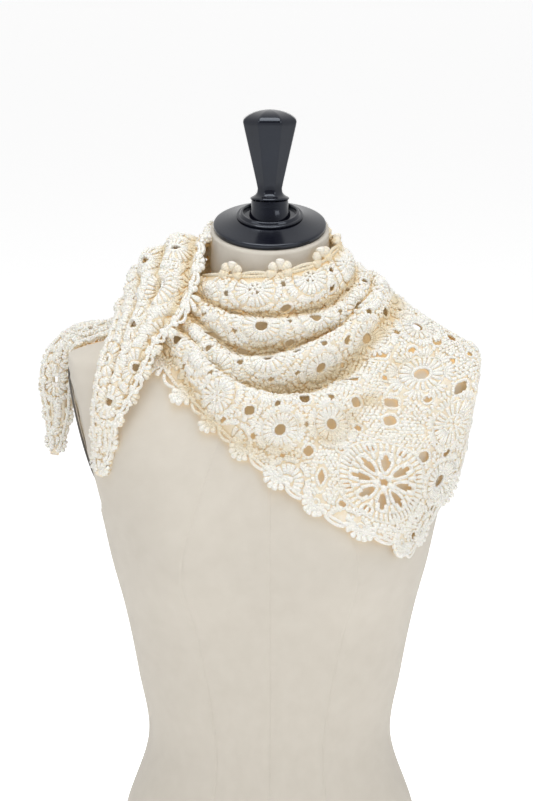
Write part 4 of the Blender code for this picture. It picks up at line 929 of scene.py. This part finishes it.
def fanStrokes(middleAngles, base, tip, spread, posts, size):
    # Shells: posts that start close together on a ring and open out, ending in rounded puffs.
    step = np.linspace(-1, 1, posts)
    found = []
    for angle in middleAngles:
        inner = angle + step * spread * 0.5
        outer = angle + step * spread
        reach = tip - 1.6 * step**2
        share = np.linspace(0, 1, 4)[None]
        x = base * np.cos(inner)[:, None] * (1 - share) + (reach * np.cos(outer))[:, None] * share
        y = base * np.sin(inner)[:, None] * (1 - share) + (reach * np.sin(outer))[:, None] * share
        found.append(stroke(x, y, np.array([0.0, 0.4, 0.6, 0.2])[None], np.array([0.8, 1.0, 1.15, 0.8])[None] * size))
    return np.concatenate(found)


def turnStrokes(strokes, angle, middle):
    # Strokes turned and moved to a middle given in metres.
    c, s = math.cos(angle), math.sin(angle)
    moved = strokes.copy()
    moved[..., 0] = (strokes[..., 0] * c - strokes[..., 1] * s) * mm + middle[0]
    moved[..., 1] = (strokes[..., 0] * s + strokes[..., 1] * c) * mm + middle[1]
    return moved


def medallionParts(count, turn):
    # One round medallion: eye, a round of widening posts, a round of chain and eight uneven shells.
    size = lace["yarn"]
    posts = np.arange(count) * 2 * math.pi / count + random.uniform(-0.035, 0.035, count)
    shells = (np.arange(8) + 0.5) * math.pi / 4 + random.uniform(-0.05, 0.05, 8)
    reach = random.uniform(15.2, 16.6)
    swell = 21.5 / count
    closed = [ringStroke(6.5, 22, size), ringStroke(reach + 0.8, 44, size * 0.85)]
    widths = np.array([0.85, 1.1, 1.34, 1.25]) * size * swell
    opened = [rayStrokes(posts + turn, 7.2, reach, widths, (0.0, 0.4, 0.6, 0.2), random.uniform(-0.5, 0.5)),
              fanStrokes(shells, reach + 1.4, random.uniform(23.0, 24.6), 0.32, 5, size * 1.1)]
    return closed, opened


def eyeFilling():
    # Puffs that close an eye, with thin slits between them.
    turns = np.arange(6) * math.pi / 3 + random.uniform(-0.12, 0.12, 6)
    widths = np.array([0.6, 1.0, 1.15, 1.0]) * lace["yarn"]
    return rayStrokes(turns, 0.7, 5.8, widths, (0.1, 0.4, 0.4, 0.1))


def starParts():
    # The open star: puffs round its middle, long open loops, and the rounds that hold their tips.
    size = lace["yarn"]
    spec = lace["star"]
    loops = []
    angle = np.linspace(0, 2 * math.pi, 20, endpoint=False)
    for petal in range(spec["petals"]):
        turn = 2 * math.pi * (petal + 0.5) / spec["petals"]
        x = 17.8 + 10.2 * np.cos(angle)
        y = 6.0 * np.sin(angle) * (0.78 + 0.22 * np.cos(angle))
        loops.append(stroke(x * math.cos(turn) - y * math.sin(turn), x * math.sin(turn) + y * math.cos(turn), 0.6,
                            size * (0.9 + 0.1 * np.cos(2 * angle))))
    closed = [ringStroke(5.4, 20, size), ringStroke(37.2, 88, size)]
    rays = np.arange(48) * math.pi / 24
    wedges = np.concatenate([np.arange(8) * math.pi / 4 + lean for lean in (-0.13, 0.13)])
    joins = np.concatenate([np.arange(8) * math.pi / 4 + lean for lean in (-0.24, 0.0, 0.24)])
    puffs = (np.arange(5) + 0.3) * 2 * math.pi / 5
    opened = [rayStrokes(rays, 28.6, 36.4, np.array([0.8, 1.2, 1.3, 0.9]) * size, (0.1, 0.5, 0.7, 0.2)),
              rayStrokes(wedges, 11.0, 21.0, np.array([0.7, 1.0, 1.2, 1.2]) * size, (0.2, 0.6, 0.6, 0.3)),
              rayStrokes(joins, 20.5, 28.5, np.array([1.1, 1.35, 1.4, 1.1]) * size, (0.2, 0.7, 0.7, 0.2)),
              rayStrokes(puffs, 3.0, 9.6, np.array([0.8, 1.7, 1.9, 1.0]) * size, (0.4, 1.6, 1.6, 0.8))]
    return [*closed, *loops], opened


def edgeFrame(line, pitch, first):
    # Places of the flowers along an edge, evenly spaced at about the pitch.
    run = np.concatenate([[0], np.cumsum(np.linalg.norm(np.diff(line, axis=0), axis=1))])
    count = max(1, int(run[-1] / (pitch * mm) - 0.1))
    return run, (np.arange(count) + first) * run[-1] / count


def alongEdge(line, run, places, outward):
    # Point, direction and outward direction at places along an edge.
    points = np.stack([np.interp(places, run, line[:, axis]) for axis in (0, 1)], -1)
    ahead = np.stack([np.interp(places + 4 * mm, run, line[:, axis]) for axis in (0, 1)], -1)
    behind = np.stack([np.interp(places - 4 * mm, run, line[:, axis]) for axis in (0, 1)], -1)
    tangent = unit(ahead - behind)
    return points, tangent, np.stack([tangent[:, 1], -tangent[:, 0]], -1) * outward


def petalFan(middle, out, side, turns, near, far, size):
    # Rounded fingers that open from a middle; each is a thick strand, widest near its tip.
    turns = np.asarray(turns)
    ray = out * np.cos(turns)[:, None] + side * np.sin(turns)[:, None]
    share = np.array([0.0, 0.3, 0.6, 0.82, 0.95, 1.0])
    reach = near + (far - near) * share
    path = middle + ray[:, None] * (reach * mm)[None, :, None]
    return stroke(path[..., 0], path[..., 1], np.array([0.0, 0.3, 0.6, 0.6, 0.4, 0.3])[None],
                  np.array([0.5, 0.8, 1.12, 1.12, 0.78, 0.3])[None] * size)


def edgeStrokes(line, outward, centres, run, flower):
    # The border of an edge: a round of chain, a flower of puffs at each centre and arches of chain between
    # them.
    size = lace["yarn"]
    places = np.arange(1.0 * mm, run[-1] - 1.0 * mm, 2.2 * mm)
    points, _, normal = alongEdge(line, run, places, outward)
    bead = 1 + 0.16 * np.cos(math.pi * np.arange(len(places)))
    points = points - normal * 0.4 * mm
    opened = [stroke(points[:, 0], points[:, 1], 0.3, size * 1.15 * bead)[None]]
    points, tangent, normal = alongEdge(line, run, centres, outward)
    for middle, side, out in zip(points, tangent, normal):
        middle = middle + out * flower["shift"] * mm
        turns = np.radians(np.linspace(-flower["spread"], flower["spread"], flower["petals"]))
        turns = turns + random.uniform(-0.08, 0.08) + random.uniform(-0.04, 0.04, len(turns))
        grow = random.uniform(0.93, 1.07)
        opened.append(petalFan(middle, out, side, turns, flower["near"] * grow, flower["far"] * grow, flower["size"]))
        if flower["posts"]:
            between = np.radians(np.linspace(-flower["spread"], flower["spread"], flower["posts"]))
            opened.append(petalFan(middle, out, side, between, 3.6, flower["far"] * 0.66, size))
            eye = ringStroke(2.9, 10, size * 0.9)
            eye = np.concatenate([eye, eye[:1]])
            eye[:, :2] = eye[:, :2] * mm + middle
            opened.append(eye[None])
    half = run[-1] / len(centres) / 2
    reach = np.linspace(-1, 1, 12)
    for place in centres[:-1] + half:
        points, tangent, normal = alongEdge(line, run, place + reach * (half - flower["half"] * mm), outward)
        points = points + normal * ((1 - reach**2) * 2.2 * mm + 1.4 * mm)[:, None]
        opened.append(stroke(points[:, 0], points[:, 1], 0.4, size * 1.1)[None])
    return opened


def fillStrokes(region, middles, openings, room, star=None, daisies=()):
    # Short puffs in rows round the nearest medallion, wherever no motif or opening lies.
    low, high = region
    step = lace["fillStep"] * mm
    x, y = np.meshgrid(np.arange(low[0], high[0], step), np.arange(low[1], high[1], step * 0.866), indexing="ij")
    x = x + step / 2 * (np.arange(x.shape[1]) % 2)[None]
    points = np.stack([x.ravel(), y.ravel()], -1)
    points = points + random.uniform(-0.4, 0.4, points.shape) * mm
    away = np.full(len(points), 1e9)
    nearest = np.zeros((len(points), 2))
    for middle in middles:
        distance = np.linalg.norm(points - middle, axis=1)
        nearest = np.where((distance < away)[:, None], middle, nearest)
        away = np.minimum(away, distance)
    keep = (away > 24.6 * mm) & (room(points) > lace["fillRoom"]) & (openingRoom(points, openings) > 2.7)
    if star is not None:
        keep &= np.linalg.norm(points - star, axis=1) > 38.6 * mm
    for middle in daisies:
        keep &= np.linalg.norm(points - middle, axis=1) > 11.0 * mm
    points, nearest = points[keep], nearest[keep]
    ray = unit(points - nearest)
    turn = random.normal(0, 0.6, len(points))
    ray = np.stack([ray[:, 0] * np.cos(turn) - ray[:, 1] * np.sin(turn),
                    ray[:, 0] * np.sin(turn) + ray[:, 1] * np.cos(turn)], -1)
    share = np.array([-2.2, -0.8, 0.8, 2.2]) * mm * random.uniform(0.6, 1.15, len(points))[:, None]
    path = points[:, None] + ray[:, None] * share[..., None]
    size = lace["yarn"] * random.uniform(0.95, 1.4, len(points))
    high = random.uniform(-0.3, 0.7, len(points))[:, None]
    return stroke(path[..., 0], path[..., 1], np.array([-0.4, 0.2, 0.2, -0.4])[None] + high,
                  size[:, None] * np.array([0.75, 1.1, 1.1, 0.75])[None])


def sweepYarn(points, normals, radius, closed):
    # Tubes along paths: the ring at each point is cos(a) * up + sin(a) * side, both square to the path.
    sides = lace["sides"]
    if closed:
        tangent = unit(np.roll(points, -1, axis=1) - np.roll(points, 1, axis=1))
    else:
        tangent = unit(np.gradient(points, axis=1))
    side = unit(np.cross(tangent, normals))
    up = np.cross(side, tangent)
    angle = np.arange(sides) * 2 * math.pi / sides
    spread = np.cos(angle)[:, None] * up[:, :, None] + np.sin(angle)[:, None] * side[:, :, None]
    rings = points[:, :, None] + radius[:, :, None, None] * spread
    strands, steps = points.shape[:2]
    index = np.arange(strands * steps * sides).reshape(strands, steps, sides)
    following = np.roll(index, -1, axis=1) if closed else index[:, 1:]
    start = index if closed else index[:, :-1]
    a, b = start, np.roll(start, -1, axis=2)
    c, d = np.roll(following, -1, axis=2), following
    quads = np.stack([a, b, c, d], -1).reshape(-1, 4)
    gaps = np.linalg.norm(np.diff(points, axis=1), axis=2)
    run = np.concatenate([np.zeros((strands, 1)), np.cumsum(gaps, axis=1)], axis=1) / mm
    if closed:
        run = np.concatenate([run, run[:, -1:] + 2.0], axis=1)
    u0 = np.repeat(run[:, :start.shape[1], None], sides, axis=2)
    u1 = np.repeat(run[:, 1:start.shape[1] + 1, None], sides, axis=2)
    v0 = np.broadcast_to(np.arange(sides) / sides, u0.shape)
    uv = np.stack([np.stack([u0, v0], -1), np.stack([u0, v0 + 1 / sides], -1), np.stack([u1, v0 + 1 / sides], -1),
                   np.stack([u1, v0], -1)], -2).reshape(-1, 4, 2)
    groups = [(quads, uv)]
    if not closed:
        caps = np.concatenate([index[:, 0, ::-1], index[:, -1]])
        groups.append((caps, np.full((len(caps), sides, 2), 0.5)))
    return rings.reshape(-1, 3), groups


def yarnPiece(name, strokes, toSpace, faces=(1,)):
    # One mesh of many strands on one or both faces. The strokes are (array of equal strokes, closed or
    # not).
    points, groups, shades, offset = [], [], [], 0
    for paths, closed, face in [(*part, face) for part in strokes for face in faces]:
        if len(paths) == 0:
            continue
        place, normal, shade = toSpace(paths[..., :2])
        shades.append(np.repeat(shade.ravel(), lace["sides"]))
        place = place + normal * ((paths[..., 2] + lace["lift"]) * mm * face)[..., None]
        made, faces = sweepYarn(place, normal, paths[..., 3] * mm, closed)
        points.append(made)
        groups += [(corner + offset, uv) for corner, uv in faces]
        offset += len(made)
    grouped = {}
    for corner, uv in groups:
        grouped.setdefault(corner.shape[1], []).append((corner, uv))
    merged = [(np.concatenate([c for c, _ in found]), np.concatenate([u for _, u in found]))
              for found in grouped.values()]
    made = meshFromArrays(name, np.concatenate(points), merged, yarn, paintedShade=np.concatenate(shades))
    print(name, sum(len(corner) * (corner.shape[1] - 2) for corner, _ in merged), "triangles")
    return made


def webPiece(name, flat, toSpace, openings, sheetRoom):
    # The thin ground: a grid in the flat cloth, pulled onto the rims of its openings and cut there.
    rows, columns = flat.shape[:2]
    for _ in range(2):
        room = openingRoom(flat, openings)
        small = 0.2 * mm
        gradient = np.stack([openingRoom(flat + (small, 0), openings) - room,
                             openingRoom(flat + (0, small), openings) - room], -1)
        near = (np.abs(room) < 1.25)[..., None]
        flat = flat - np.where(near, unit(gradient) * room[..., None] * mm, 0)
    place, normal, shade = toSpace(flat)
    solid = (openingRoom(flat, openings) > -0.3) & sheetRoom
    quads = gridFaces(rows, columns)
    quads = quads[solid.ravel()[quads].all(axis=1)]
    return shellFromQuads(name, place.reshape(-1, 3), normal.reshape(-1, 3), quads, shade.ravel())


def shellFromQuads(name, middle, normal, quads, shade):
    # Two layers, half the thickness to each side of the middle, joined round every free edge.
    used, quads = np.unique(quads, return_inverse=True)
    quads = quads.reshape(-1, 4)
    middle, normal, shade = middle[used], normal[used], shade[used]
    a, b, c = middle[quads[:, 0]], middle[quads[:, 1]], middle[quads[:, 2]]
    facing = np.sum(np.cross(b - a, c - a) * normal[quads[:, 0]])
    if facing < 0:
        quads = quads[:, ::-1]
    count = len(middle)
    edges = np.stack([quads, np.roll(quads, -1, axis=1)], -1).reshape(-1, 2)
    keys = edges[:, 0].astype(np.int64) * count + edges[:, 1]
    backward = edges[:, 1].astype(np.int64) * count + edges[:, 0]
    free = edges[~np.isin(keys, backward)]
    rim = np.stack([free[:, 1], free[:, 0], free[:, 0] + count, free[:, 1] + count], -1)
    half = normal * lace["webThickness"] * mm / 2
    faces = [(quads, None), (quads[:, ::-1] + count, None), (rim, None)]
    return meshFromArrays(name, np.concatenate([middle + half, middle - half]), faces, web,
                          paintedShade=np.concatenate([shade, shade]))


creases = ((36, 74, 70, 128, 5, 2.6), (42, 92, 96, 176, 6, 2.4), (34, 100, 62, 168, 4, 1.6), (48, 60, 88, 96, 5, 2.2),
           (60, 120, 118, 190, 7, 2.8), (90, 200, 132, 262, 7, 1.8), (100, 150, 150, 168, 6, 2.2),
           (125, 176, 160, 232, 6, 2.0), (142, 120, 176, 150, 5, 2.2), (150, 205, 172, 160, 5, 1.6),
           (70, 40, 120, 52, 4, 1.8), (52, 26, 84, 40, 4, 1.5), (128, 66, 168, 84, 5, 2.2), (175, 70, 205, 120, 5, 2.4),
           (195, 60, 228, 118, 6, 2.2), (232, 50, 262, 96, 5, 2.4), (258, 30, 300, 60, 5, 1.8), (282, 66, 322, 72, 4, 1.6),
           (210, 120, 240, 100, 5, 1.8))
surface = shawlSurface()
lines = [(clothFlat(math.radians(row[0]), row[1] * mm), clothFlat(math.radians(row[2]), row[3] * mm), *row[4:])
         for row in creases]
surface = creased(surface, clothFlat(surface["rows"][:, None], surface["columns"][None, :]), lines)
# How far each point sinks in a fold, for the painted shade in the valleys.
surface["shade"] = valleyShade(surface, 8, 4.0)
star, middles, allOpenings = shawlMotifs()
print("shawl surface and", len(middles), "medallions laid out")


def shawlToSpace(flat):
    azimuth, length = clothRound(flat)
    return sampleGrid(surface, azimuth, length)


def gatherStrokes(parts, room, openings, inner=0.0):
    # Keeps the strokes that lie wholly on the cloth; groups those with as many points.
    groups = {}
    for paths, closed, trim in parts:
        if len(paths) == 0:
            continue
        keep = room(paths[..., :2]).min(axis=1) > trim
        if inner is not None:
            keep &= openingRoom(paths[..., :2], openings).min(axis=1) > inner
        groups.setdefault((paths.shape[1], closed), []).append(paths[keep])
    return [(np.concatenate(found), closed) for (_, closed), found in groups.items()]


def laceParts(middles, turn, openings, star=None):
    # All strokes of the medallions, the star and the rings round every opening, placed in the flat cloth.
    parts = []
    border = 2.2
    for middle in middles:
        closedParts, openParts = medallionParts(random.integers(18, 23), random.uniform(0, 1))
        parts += [(turnStrokes(path, turn, middle)[None], True, border) for path in closedParts]
        parts += [(turnStrokes(path, turn, middle), False, border) for path in openParts]
    if star is not None:
        starClosed, starOpen = starParts()
        parts += [(turnStrokes(path, 0.0, star)[None], True, 3.0) for path in starClosed]
        parts += [(turnStrokes(path, 0.0, star), False, 3.0) for path in starOpen]
    for middle, radius, stretch, lean in openings:
        plain = radius == lace["eye"]
        inset = 1.2 if plain else random.uniform(0.2, 0.9)
        corners = 0.0 if plain else random.uniform(0.02, 0.10)
        rim = ringStroke(radius + inset, 16, lace["yarn"] * random.uniform(0.95, 1.15), 0.1, stretch, corners)
        lean = lean if stretch > 1 else lean + random.uniform(0, 1.5)
        parts.append((turnStrokes(rim, lean, middle)[None], True, 1.5))
    return parts


def buildShawl():
    # Front and back stretch: the ground with its openings, and the stitches on it.
    first, seam, last = (math.radians(shawl[key]) for key in ("start", "seam", "end"))
    azimuths = np.linspace(first, last, 500)
    hem = clothFlat(azimuths, np.interp(azimuths, surface["rows"], surface["hem"]))
    neck = clothFlat(azimuths, 0 * azimuths)

    def room(flat):
        azimuth, length = clothRound(flat)
        limit = np.interp(azimuth, surface["rows"], surface["hem"])
        inside = (length > 0) & (length < limit) & (azimuth > first) & (azimuth < last)
        ends = np.minimum(azimuth - first, last - azimuth) * 0.09 / mm + lace["border"]
        away = np.minimum(np.minimum(lineRoom(flat, hem[::4]), lineRoom(flat, neck[::8])), ends)
        return np.where(inside, away, -away)

    openings = [hole for hole in allOpenings if room(hole[0][None])[0] > hole[1] * hole[2] + lace["holeSpacing"] - 0.4]
    edges = []
    for kind, outward, line in (("hem", 1, hem), ("neck", -1, neck)):
        flower = flowers[kind]
        for start, end in ((first, seam), (seam, last)):
            inner = (azimuths > start + 0.01) & (azimuths < end - 0.01)
            run, centres = edgeFrame(line[inner], flower["pitch"], flower["first"])
            edges.append((start, line[inner], outward, centres, run, flower))
    daisies = np.concatenate([alongEdge(line, run, centres, outward)[0] for _, line, outward, centres, run, flower
                              in edges if flower["posts"]])
    parts = laceParts(middles, math.radians(lace["turn"]), openings, star)
    _, depth = clothRound(middles)
    for middle, below in zip(middles, depth):
        opened = min(np.linalg.norm(hole[0] - middle) for hole in openings) < 1.5 * mm
        if not opened or below < lace["firstPanel"] * mm:
            parts.append((turnStrokes(eyeFilling(), random.uniform(0, 3), middle), False, 2.0))
    region = (np.minimum(hem.min(0), neck.min(0)), np.maximum(hem.max(0), neck.max(0)))
    filling = fillStrokes(region, middles, openings, room, star, daisies)
    strokes = gatherStrokes(parts, room, openings, -6.0)
    strokes.append((filling, False))
    for name, start, end in (("Front", first, seam), ("Back", seam, last)):
        piece = []
        for paths, closed in strokes:
            azimuth, _ = clothRound(paths[..., :2].mean(axis=1))
            piece.append((paths[(azimuth > start) & (azimuth <= end)], closed))
        for begin, line, outward, centres, run, flower in edges:
            if begin == start:
                for paths in edgeStrokes(line, outward, centres, run, flower):
                    clear = openingRoom(paths[..., :2], openings).min(axis=1) > -1.0
                    piece.append((paths[clear] if len(paths) > 1 else paths, False))
        stitches = yarnPiece("shawlStitches" + name, piece, shawlToSpace)
        columns = int((end - start) / math.radians(0.85))
        rows = np.arange(0, 330, 2.0) * mm
        turn, length = np.meshgrid(np.linspace(start, end, columns), rows, indexing="ij")
        limit = np.interp(turn, surface["rows"], surface["hem"])
        length = np.where(np.abs(limit - length) < 1.05 * mm, limit, length)
        ground = webPiece("shawlWeb" + name, clothFlat(turn, length), shawlToSpace, openings, length <= limit + 1e-9)
        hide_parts("shawl_" + name.lower())
        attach(ground, "root")
        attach(stitches, "root")


buildShawl()
print("shawl crocheted")


# The two ends. Rows: middle of the section, half width, arch, pleat depth (mm), direction away from the form.
ends = {
    "front": ((-86, 72, 673, 44, 13, 3.0, -0.42, 0.52, 0.74), (-100, 42, 689, 52, 18, 4.0, -0.58, 0.28, 0.76),
              (-109, 9, 692, 53, 22, 4.4, -0.66, 0.00, 0.75), (-110, -20, 680, 51, 21, 4.2, -0.64, -0.26, 0.71),
              (-113, -44, 658, 40, 16, 3.2, -0.55, -0.56, 0.60), (-124, -59, 634, 24, 9, 2.4, -0.45, -0.80, 0.40),
              (-132, -68, 610, 21, 6, 2.0, -0.40, -0.90, 0.18), (-140, -73, 584, 17, 4, 1.4, -0.38, -0.92, 0.08),
              (-148, -73, 558, 12, 3, 0.8, -0.42, -0.90, 0.04), (-151, -70, 532, 9, 2, 0.5, -0.48, -0.88, 0.02),
              (-153, -67, 513, 6, 1, 0.3, -0.50, -0.86, 0.00), (-154, -66, 503, 4, 0, 0.0, -0.50, -0.86, 0.00)),
    "back": ((-96, -10, 646, 17, 3, 1.0, -0.34, -0.10, 0.93), (-124, 16, 634, 18, 5, 1.6, -0.34, -0.10, 0.93),
             (-156, 28, 624, 18, 7, 2.2, -0.36, -0.15, 0.92), (-184, 40, 614, 17, 5, 1.6, -0.50, -0.42, 0.74),
             (-200, 49, 590, 15, 4, 1.4, -0.36, -0.80, 0.42), (-204, 53, 562, 13, 3, 1.4, -0.12, -0.98, 0.10),
             (-203, 54, 536, 10, 2, 1.0, -0.06, -0.99, 0.05), (-205, 54, 512, 6, 1, 0.5, -0.06, -0.99, 0.00),
             (-207, 54, 494, 4, 0, 0.0, -0.06, -0.99, 0.00)),
    "pleats": 4, "reach": 70, "treeReach": 200,
    "creases": {"Front": ((52, -42, 112, 48, 7, 5.0), (84, -52, 146, 26, 6, 4.2), (22, -20, 78, 58, 7, 4.6),
                          (118, -36, 170, 10, 5, 3.0), (128, -14, 262, 2, 5, 2.4), (126, 32, 236, 12, 5, 2.6),
                          (8, -44, 40, 20, 6, 3.4)),
                "Back": ((10, -12, 90, 8, 5, 2.4), (70, 10, 180, -4, 5, 2.2), (120, -8, 225, 2, 4, 1.8))},
}


def surfaceTree(points):
    rows, columns = points.shape[:2]
    return BVHTree.FromPolygons(points.reshape(-1, 3).tolist(), gridFaces(rows, columns).tolist())


def restOn(points, facing, trees):
    # Lifts a coarse grid along its facing until it lies its step above all that is under it.
    lift = np.zeros(points.shape[:2])
    reach = ends["reach"] * mm
    for i, j in np.ndindex(*lift.shape):
        upward, place = Vector(facing[i]), Vector(points[i, j])
        for tree, step in trees:
            hit = tree.ray_cast(place + upward * reach, -upward, 2 * reach)[0]
            if hit is not None:
                lift[i, j] = max(lift[i, j], (hit - place).dot(upward) + step)
    for _ in range(4):
        padded = np.pad(lift, 1, mode="edge")
        roundAbout = (padded[:-2, 1:-1] + padded[2:, 1:-1] + padded[1:-1, :-2] + padded[1:-1, 2:]) / 4
        lift = np.maximum(lift, (lift + roundAbout) / 2)
    return lift


def endSurface(rows, trees):
    # An end: its middle line, arched and pleated across, resting on what lies under it.
    table = np.array(rows, float)
    table[:, :6] *= mm
    key = np.concatenate([[0], np.cumsum(np.linalg.norm(np.diff(table[:, :3], axis=0), axis=1))])
    along = np.linspace(0, key[-1], 91)
    dense = smoothRows(key, table, along)
    centre, half, arch, pleat, facing = dense[:, :3], dense[:, 3], dense[:, 4], dense[:, 5], dense[:, 6:]
    tangent = unit(np.gradient(centre, axis=0))
    side = unit(np.cross(tangent, facing))
    facing = np.cross(side, tangent)
    across = np.linspace(-1.6, 1.6, 65)
    lateral = half[:, None] * across
    lift = -arch[:, None] * across**2 + pleat[:, None] * np.cos(math.pi * ends["pleats"] * across)
    points = centre[:, None] + lateral[..., None] * side[:, None] + lift[..., None] * facing[:, None]
    coarse = restOn(points[::3, ::4], facing[::3], trees)
    lift = smoothRows(across[::4], smoothRows(along[::3], coarse, along).T, across).T
    points = points + np.maximum(lift, 0)[..., None] * facing[:, None]
    steps = np.linalg.norm(np.diff(points, axis=1), axis=2)
    core = np.abs((across[1:] + across[:-1]) / 2) < 1
    halfCloth = steps[:, core].sum(axis=1) / 2
    normals = gridNormals(points)
    outward = np.sign(np.sum(normals * facing[:, None], axis=-1).sum())
    run = np.concatenate([[0], np.cumsum(np.linalg.norm(np.diff(centre, axis=0), axis=1))])
    return {"points": points, "normals": normals * outward, "rows": run, "columns": across, "half": halfCloth,
            "facing": outward}


def buildEnd(name, rows, node, trees):
    end = endSurface(rows, trees)
    total = end["rows"][-1]
    flat = np.stack(np.broadcast_arrays(end["rows"][:, None], end["half"][:, None] * end["columns"]), -1)
    lines = [(np.array(row[:2]) * mm, np.array(row[2:4]) * mm, *row[4:]) for row in ends["creases"][name]]
    end = creased(end, flat, lines, end["facing"])
    # How far each point sinks in a fold, for the painted shade in the valleys.
    end["shade"] = valleyShade(end, 4, 3.0)

    def toSpace(flat):
        half = np.interp(flat[..., 0], end["rows"], end["half"])
        return sampleGrid(end, flat[..., 0], flat[..., 1] / half)

    def room(flat):
        half = np.interp(flat[..., 0], end["rows"], end["half"])
        away = np.minimum(half - np.abs(flat[..., 1]), np.minimum(flat[..., 0], total - flat[..., 0]) + 6 * mm)
        return away / mm

    pitch = lace["pitch"] * mm * 0.75
    nodes = np.stack(np.meshgrid(np.arange(16 * mm, total, pitch), np.arange(-2, 3) * pitch, indexing="ij"), -1)
    nodes[1::2, :, 1] += pitch / 2
    middles = nodes.reshape(-1, 2)
    middles = middles[room(middles) > -7]
    holes = spacedOpenings([(middle, 4.2, 1.0, 0.0) for middle in middles[:1]],
                           [(middle, 4.2, 1.0, 0.0) for middle in middles[1:]]
                           + [(middle + (pitch / 2, 0), 3.4, 1.0, 0.0) for middle in middles])
    holes = [hole for hole in holes if room(hole[0][None])[0] > 7]
    parts = laceParts(middles, 0.2, holes)
    strokes = gatherStrokes(parts, room, holes, -6.0)
    region = (np.array([0.0, -0.09]), np.array([total, 0.09]))
    strokes.append((fillStrokes(region, middles, holes, room), False))
    length = np.linspace(0, total - 2 * mm, 120)
    half = np.interp(length, end["rows"], end["half"])
    for line, outward, first in ((np.stack([length, half], -1), -1, 0.5), (np.stack([length, -half], -1), 1, 0.6)):
        run, centres = edgeFrame(line, flowers["end"]["pitch"], first)
        openEdge = edgeStrokes(line, outward, centres, run, flowers["end"])
        strokes += [(paths[(paths[..., 1] * -outward > -0.5 * mm).all(axis=1)] if len(paths) > 1 else paths, False)
                    for paths in openEdge]
    stitches = yarnPiece("endStitches" + name, strokes, toSpace, (1, -1))
    u, v = np.meshgrid(np.linspace(0, total, int(total / (2 * mm))), np.linspace(-1, 1, 61), indexing="ij")
    flat = np.stack([u, v * np.interp(u, end["rows"], end["half"])], -1)
    ground = webPiece("endWeb" + name, flat, toSpace, holes, np.ones(u.shape, bool))
    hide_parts(node)
    for piece in (ground, stitches):
        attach(piece, "root")
    return surfaceTree(end["points"])


turns, tops = np.meshgrid(np.radians(np.arange(0, 361, 5.0)), np.linspace(0.0163, 0.72, 60), indexing="ij")
formPoints = roundToSpace(turns, formRadius(turns, tops), leaningHeight(turns, tops, formRadius(turns, tops)))
formTree = (surfaceTree(formPoints), shawl["rest"] * mm)
capeTree = (surfaceTree(surface["points"][:, :int(ends["treeReach"] / shawl["lengthStep"])]), shawl["overlap"] * mm)
backTree = (buildEnd("Back", ends["back"], "shawl_end_back", (formTree, capeTree)), shawl["overlap"] * mm)
buildEnd("Front", ends["front"], "shawl_end_front", (formTree, capeTree, backTree))
print("ends crocheted")

# Plain pale floor and soft studio light.
studio = {"half": 100.0, "colour": (0.93, 0.93, 0.93), "glow": 0.56, "world": 0.515, "shown": 0.98, "dark": 0.3,
          "lights": ((1.9, -1.9, 2.0, 1.3, 17.5), (-2.0, -1.4, 2.2, 1.2, 9.5), (-0.1, -0.45, 2.6, 1.5, 36.0)),
          "fill": (0.0, -2.6, 1.1, 1.2, 9.0)}


def buildStudio():
    # A pale floor, three soft boxes, and light from all round that is weaker from behind the camera.
    half = studio["half"]
    corners = np.array([(-half, -half, 0), (half, -half, 0), (half, half, 0), (-half, half, 0)])
    material, tree, shader = newMaterial("paleFloor")
    for socket in ("Base Color", "Emission Color"):
        shader.inputs[socket].default_value = (*studio["colour"], 1)
    shader.inputs["Emission Strength"].default_value = studio["glow"]
    shader.inputs["Roughness"].default_value = 0.95
    shader.inputs["Specular IOR Level"].default_value = 0.1
    meshFromArrays("floor", corners, [(np.array([[0, 1, 2, 3]]), None)], material, smooth=False)
    for x, y, z, size, power in (*studio["lights"], studio["fill"]):
        data = bpy.data.lights.new("softbox", "AREA")
        data.size = size
        data.energy = power
        data.color = (0.98, 0.99, 1.0)
        lamp = bpy.data.objects.new("softbox", data)
        lamp.location = (x, y, z)
        lamp.rotation_euler = (Vector((0, 0, 0.55)) - lamp.location).to_track_quat("-Z", "Y").to_euler()
        lamp.visible_glossy = y > studio["fill"][1]
        bpy.context.scene.collection.objects.link(lamp)
    world = bpy.data.worlds.new("studio")
    world.use_nodes = True
    tree = world.node_tree
    direction = addNode(tree, "ShaderNodeTexCoord").outputs["Generated"]
    forward = addNode(tree, "ShaderNodeSeparateXYZ", {"Vector": direction}).outputs["Y"]
    share = addNode(tree, "ShaderNodeMapRange", {"Value": forward, "From Min": -0.95, "From Max": -0.25,
                                                 "To Min": studio["dark"]}).outputs[0]
    ray = addNode(tree, "ShaderNodeLightPath").outputs
    full = addNode(tree, "ShaderNodeMix", {0: ray["Is Glossy Ray"], 2: studio["world"], 3: studio["shown"]}).outputs[0]
    light = addNode(tree, "ShaderNodeMath", {0: full, 1: share}, operation="MULTIPLY").outputs[0]
    strength = addNode(tree, "ShaderNodeMix", {0: ray["Is Camera Ray"], 2: light, 3: studio["shown"]}).outputs[0]
    tree.nodes["Background"].inputs["Color"].default_value = (1, 1, 1, 1)
    tree.links.new(strength, tree.nodes["Background"].inputs["Strength"])
    bpy.context.scene.world = world
    bpy.context.scene.view_settings.view_transform = "Standard"


buildStudio()
print("studio lit")
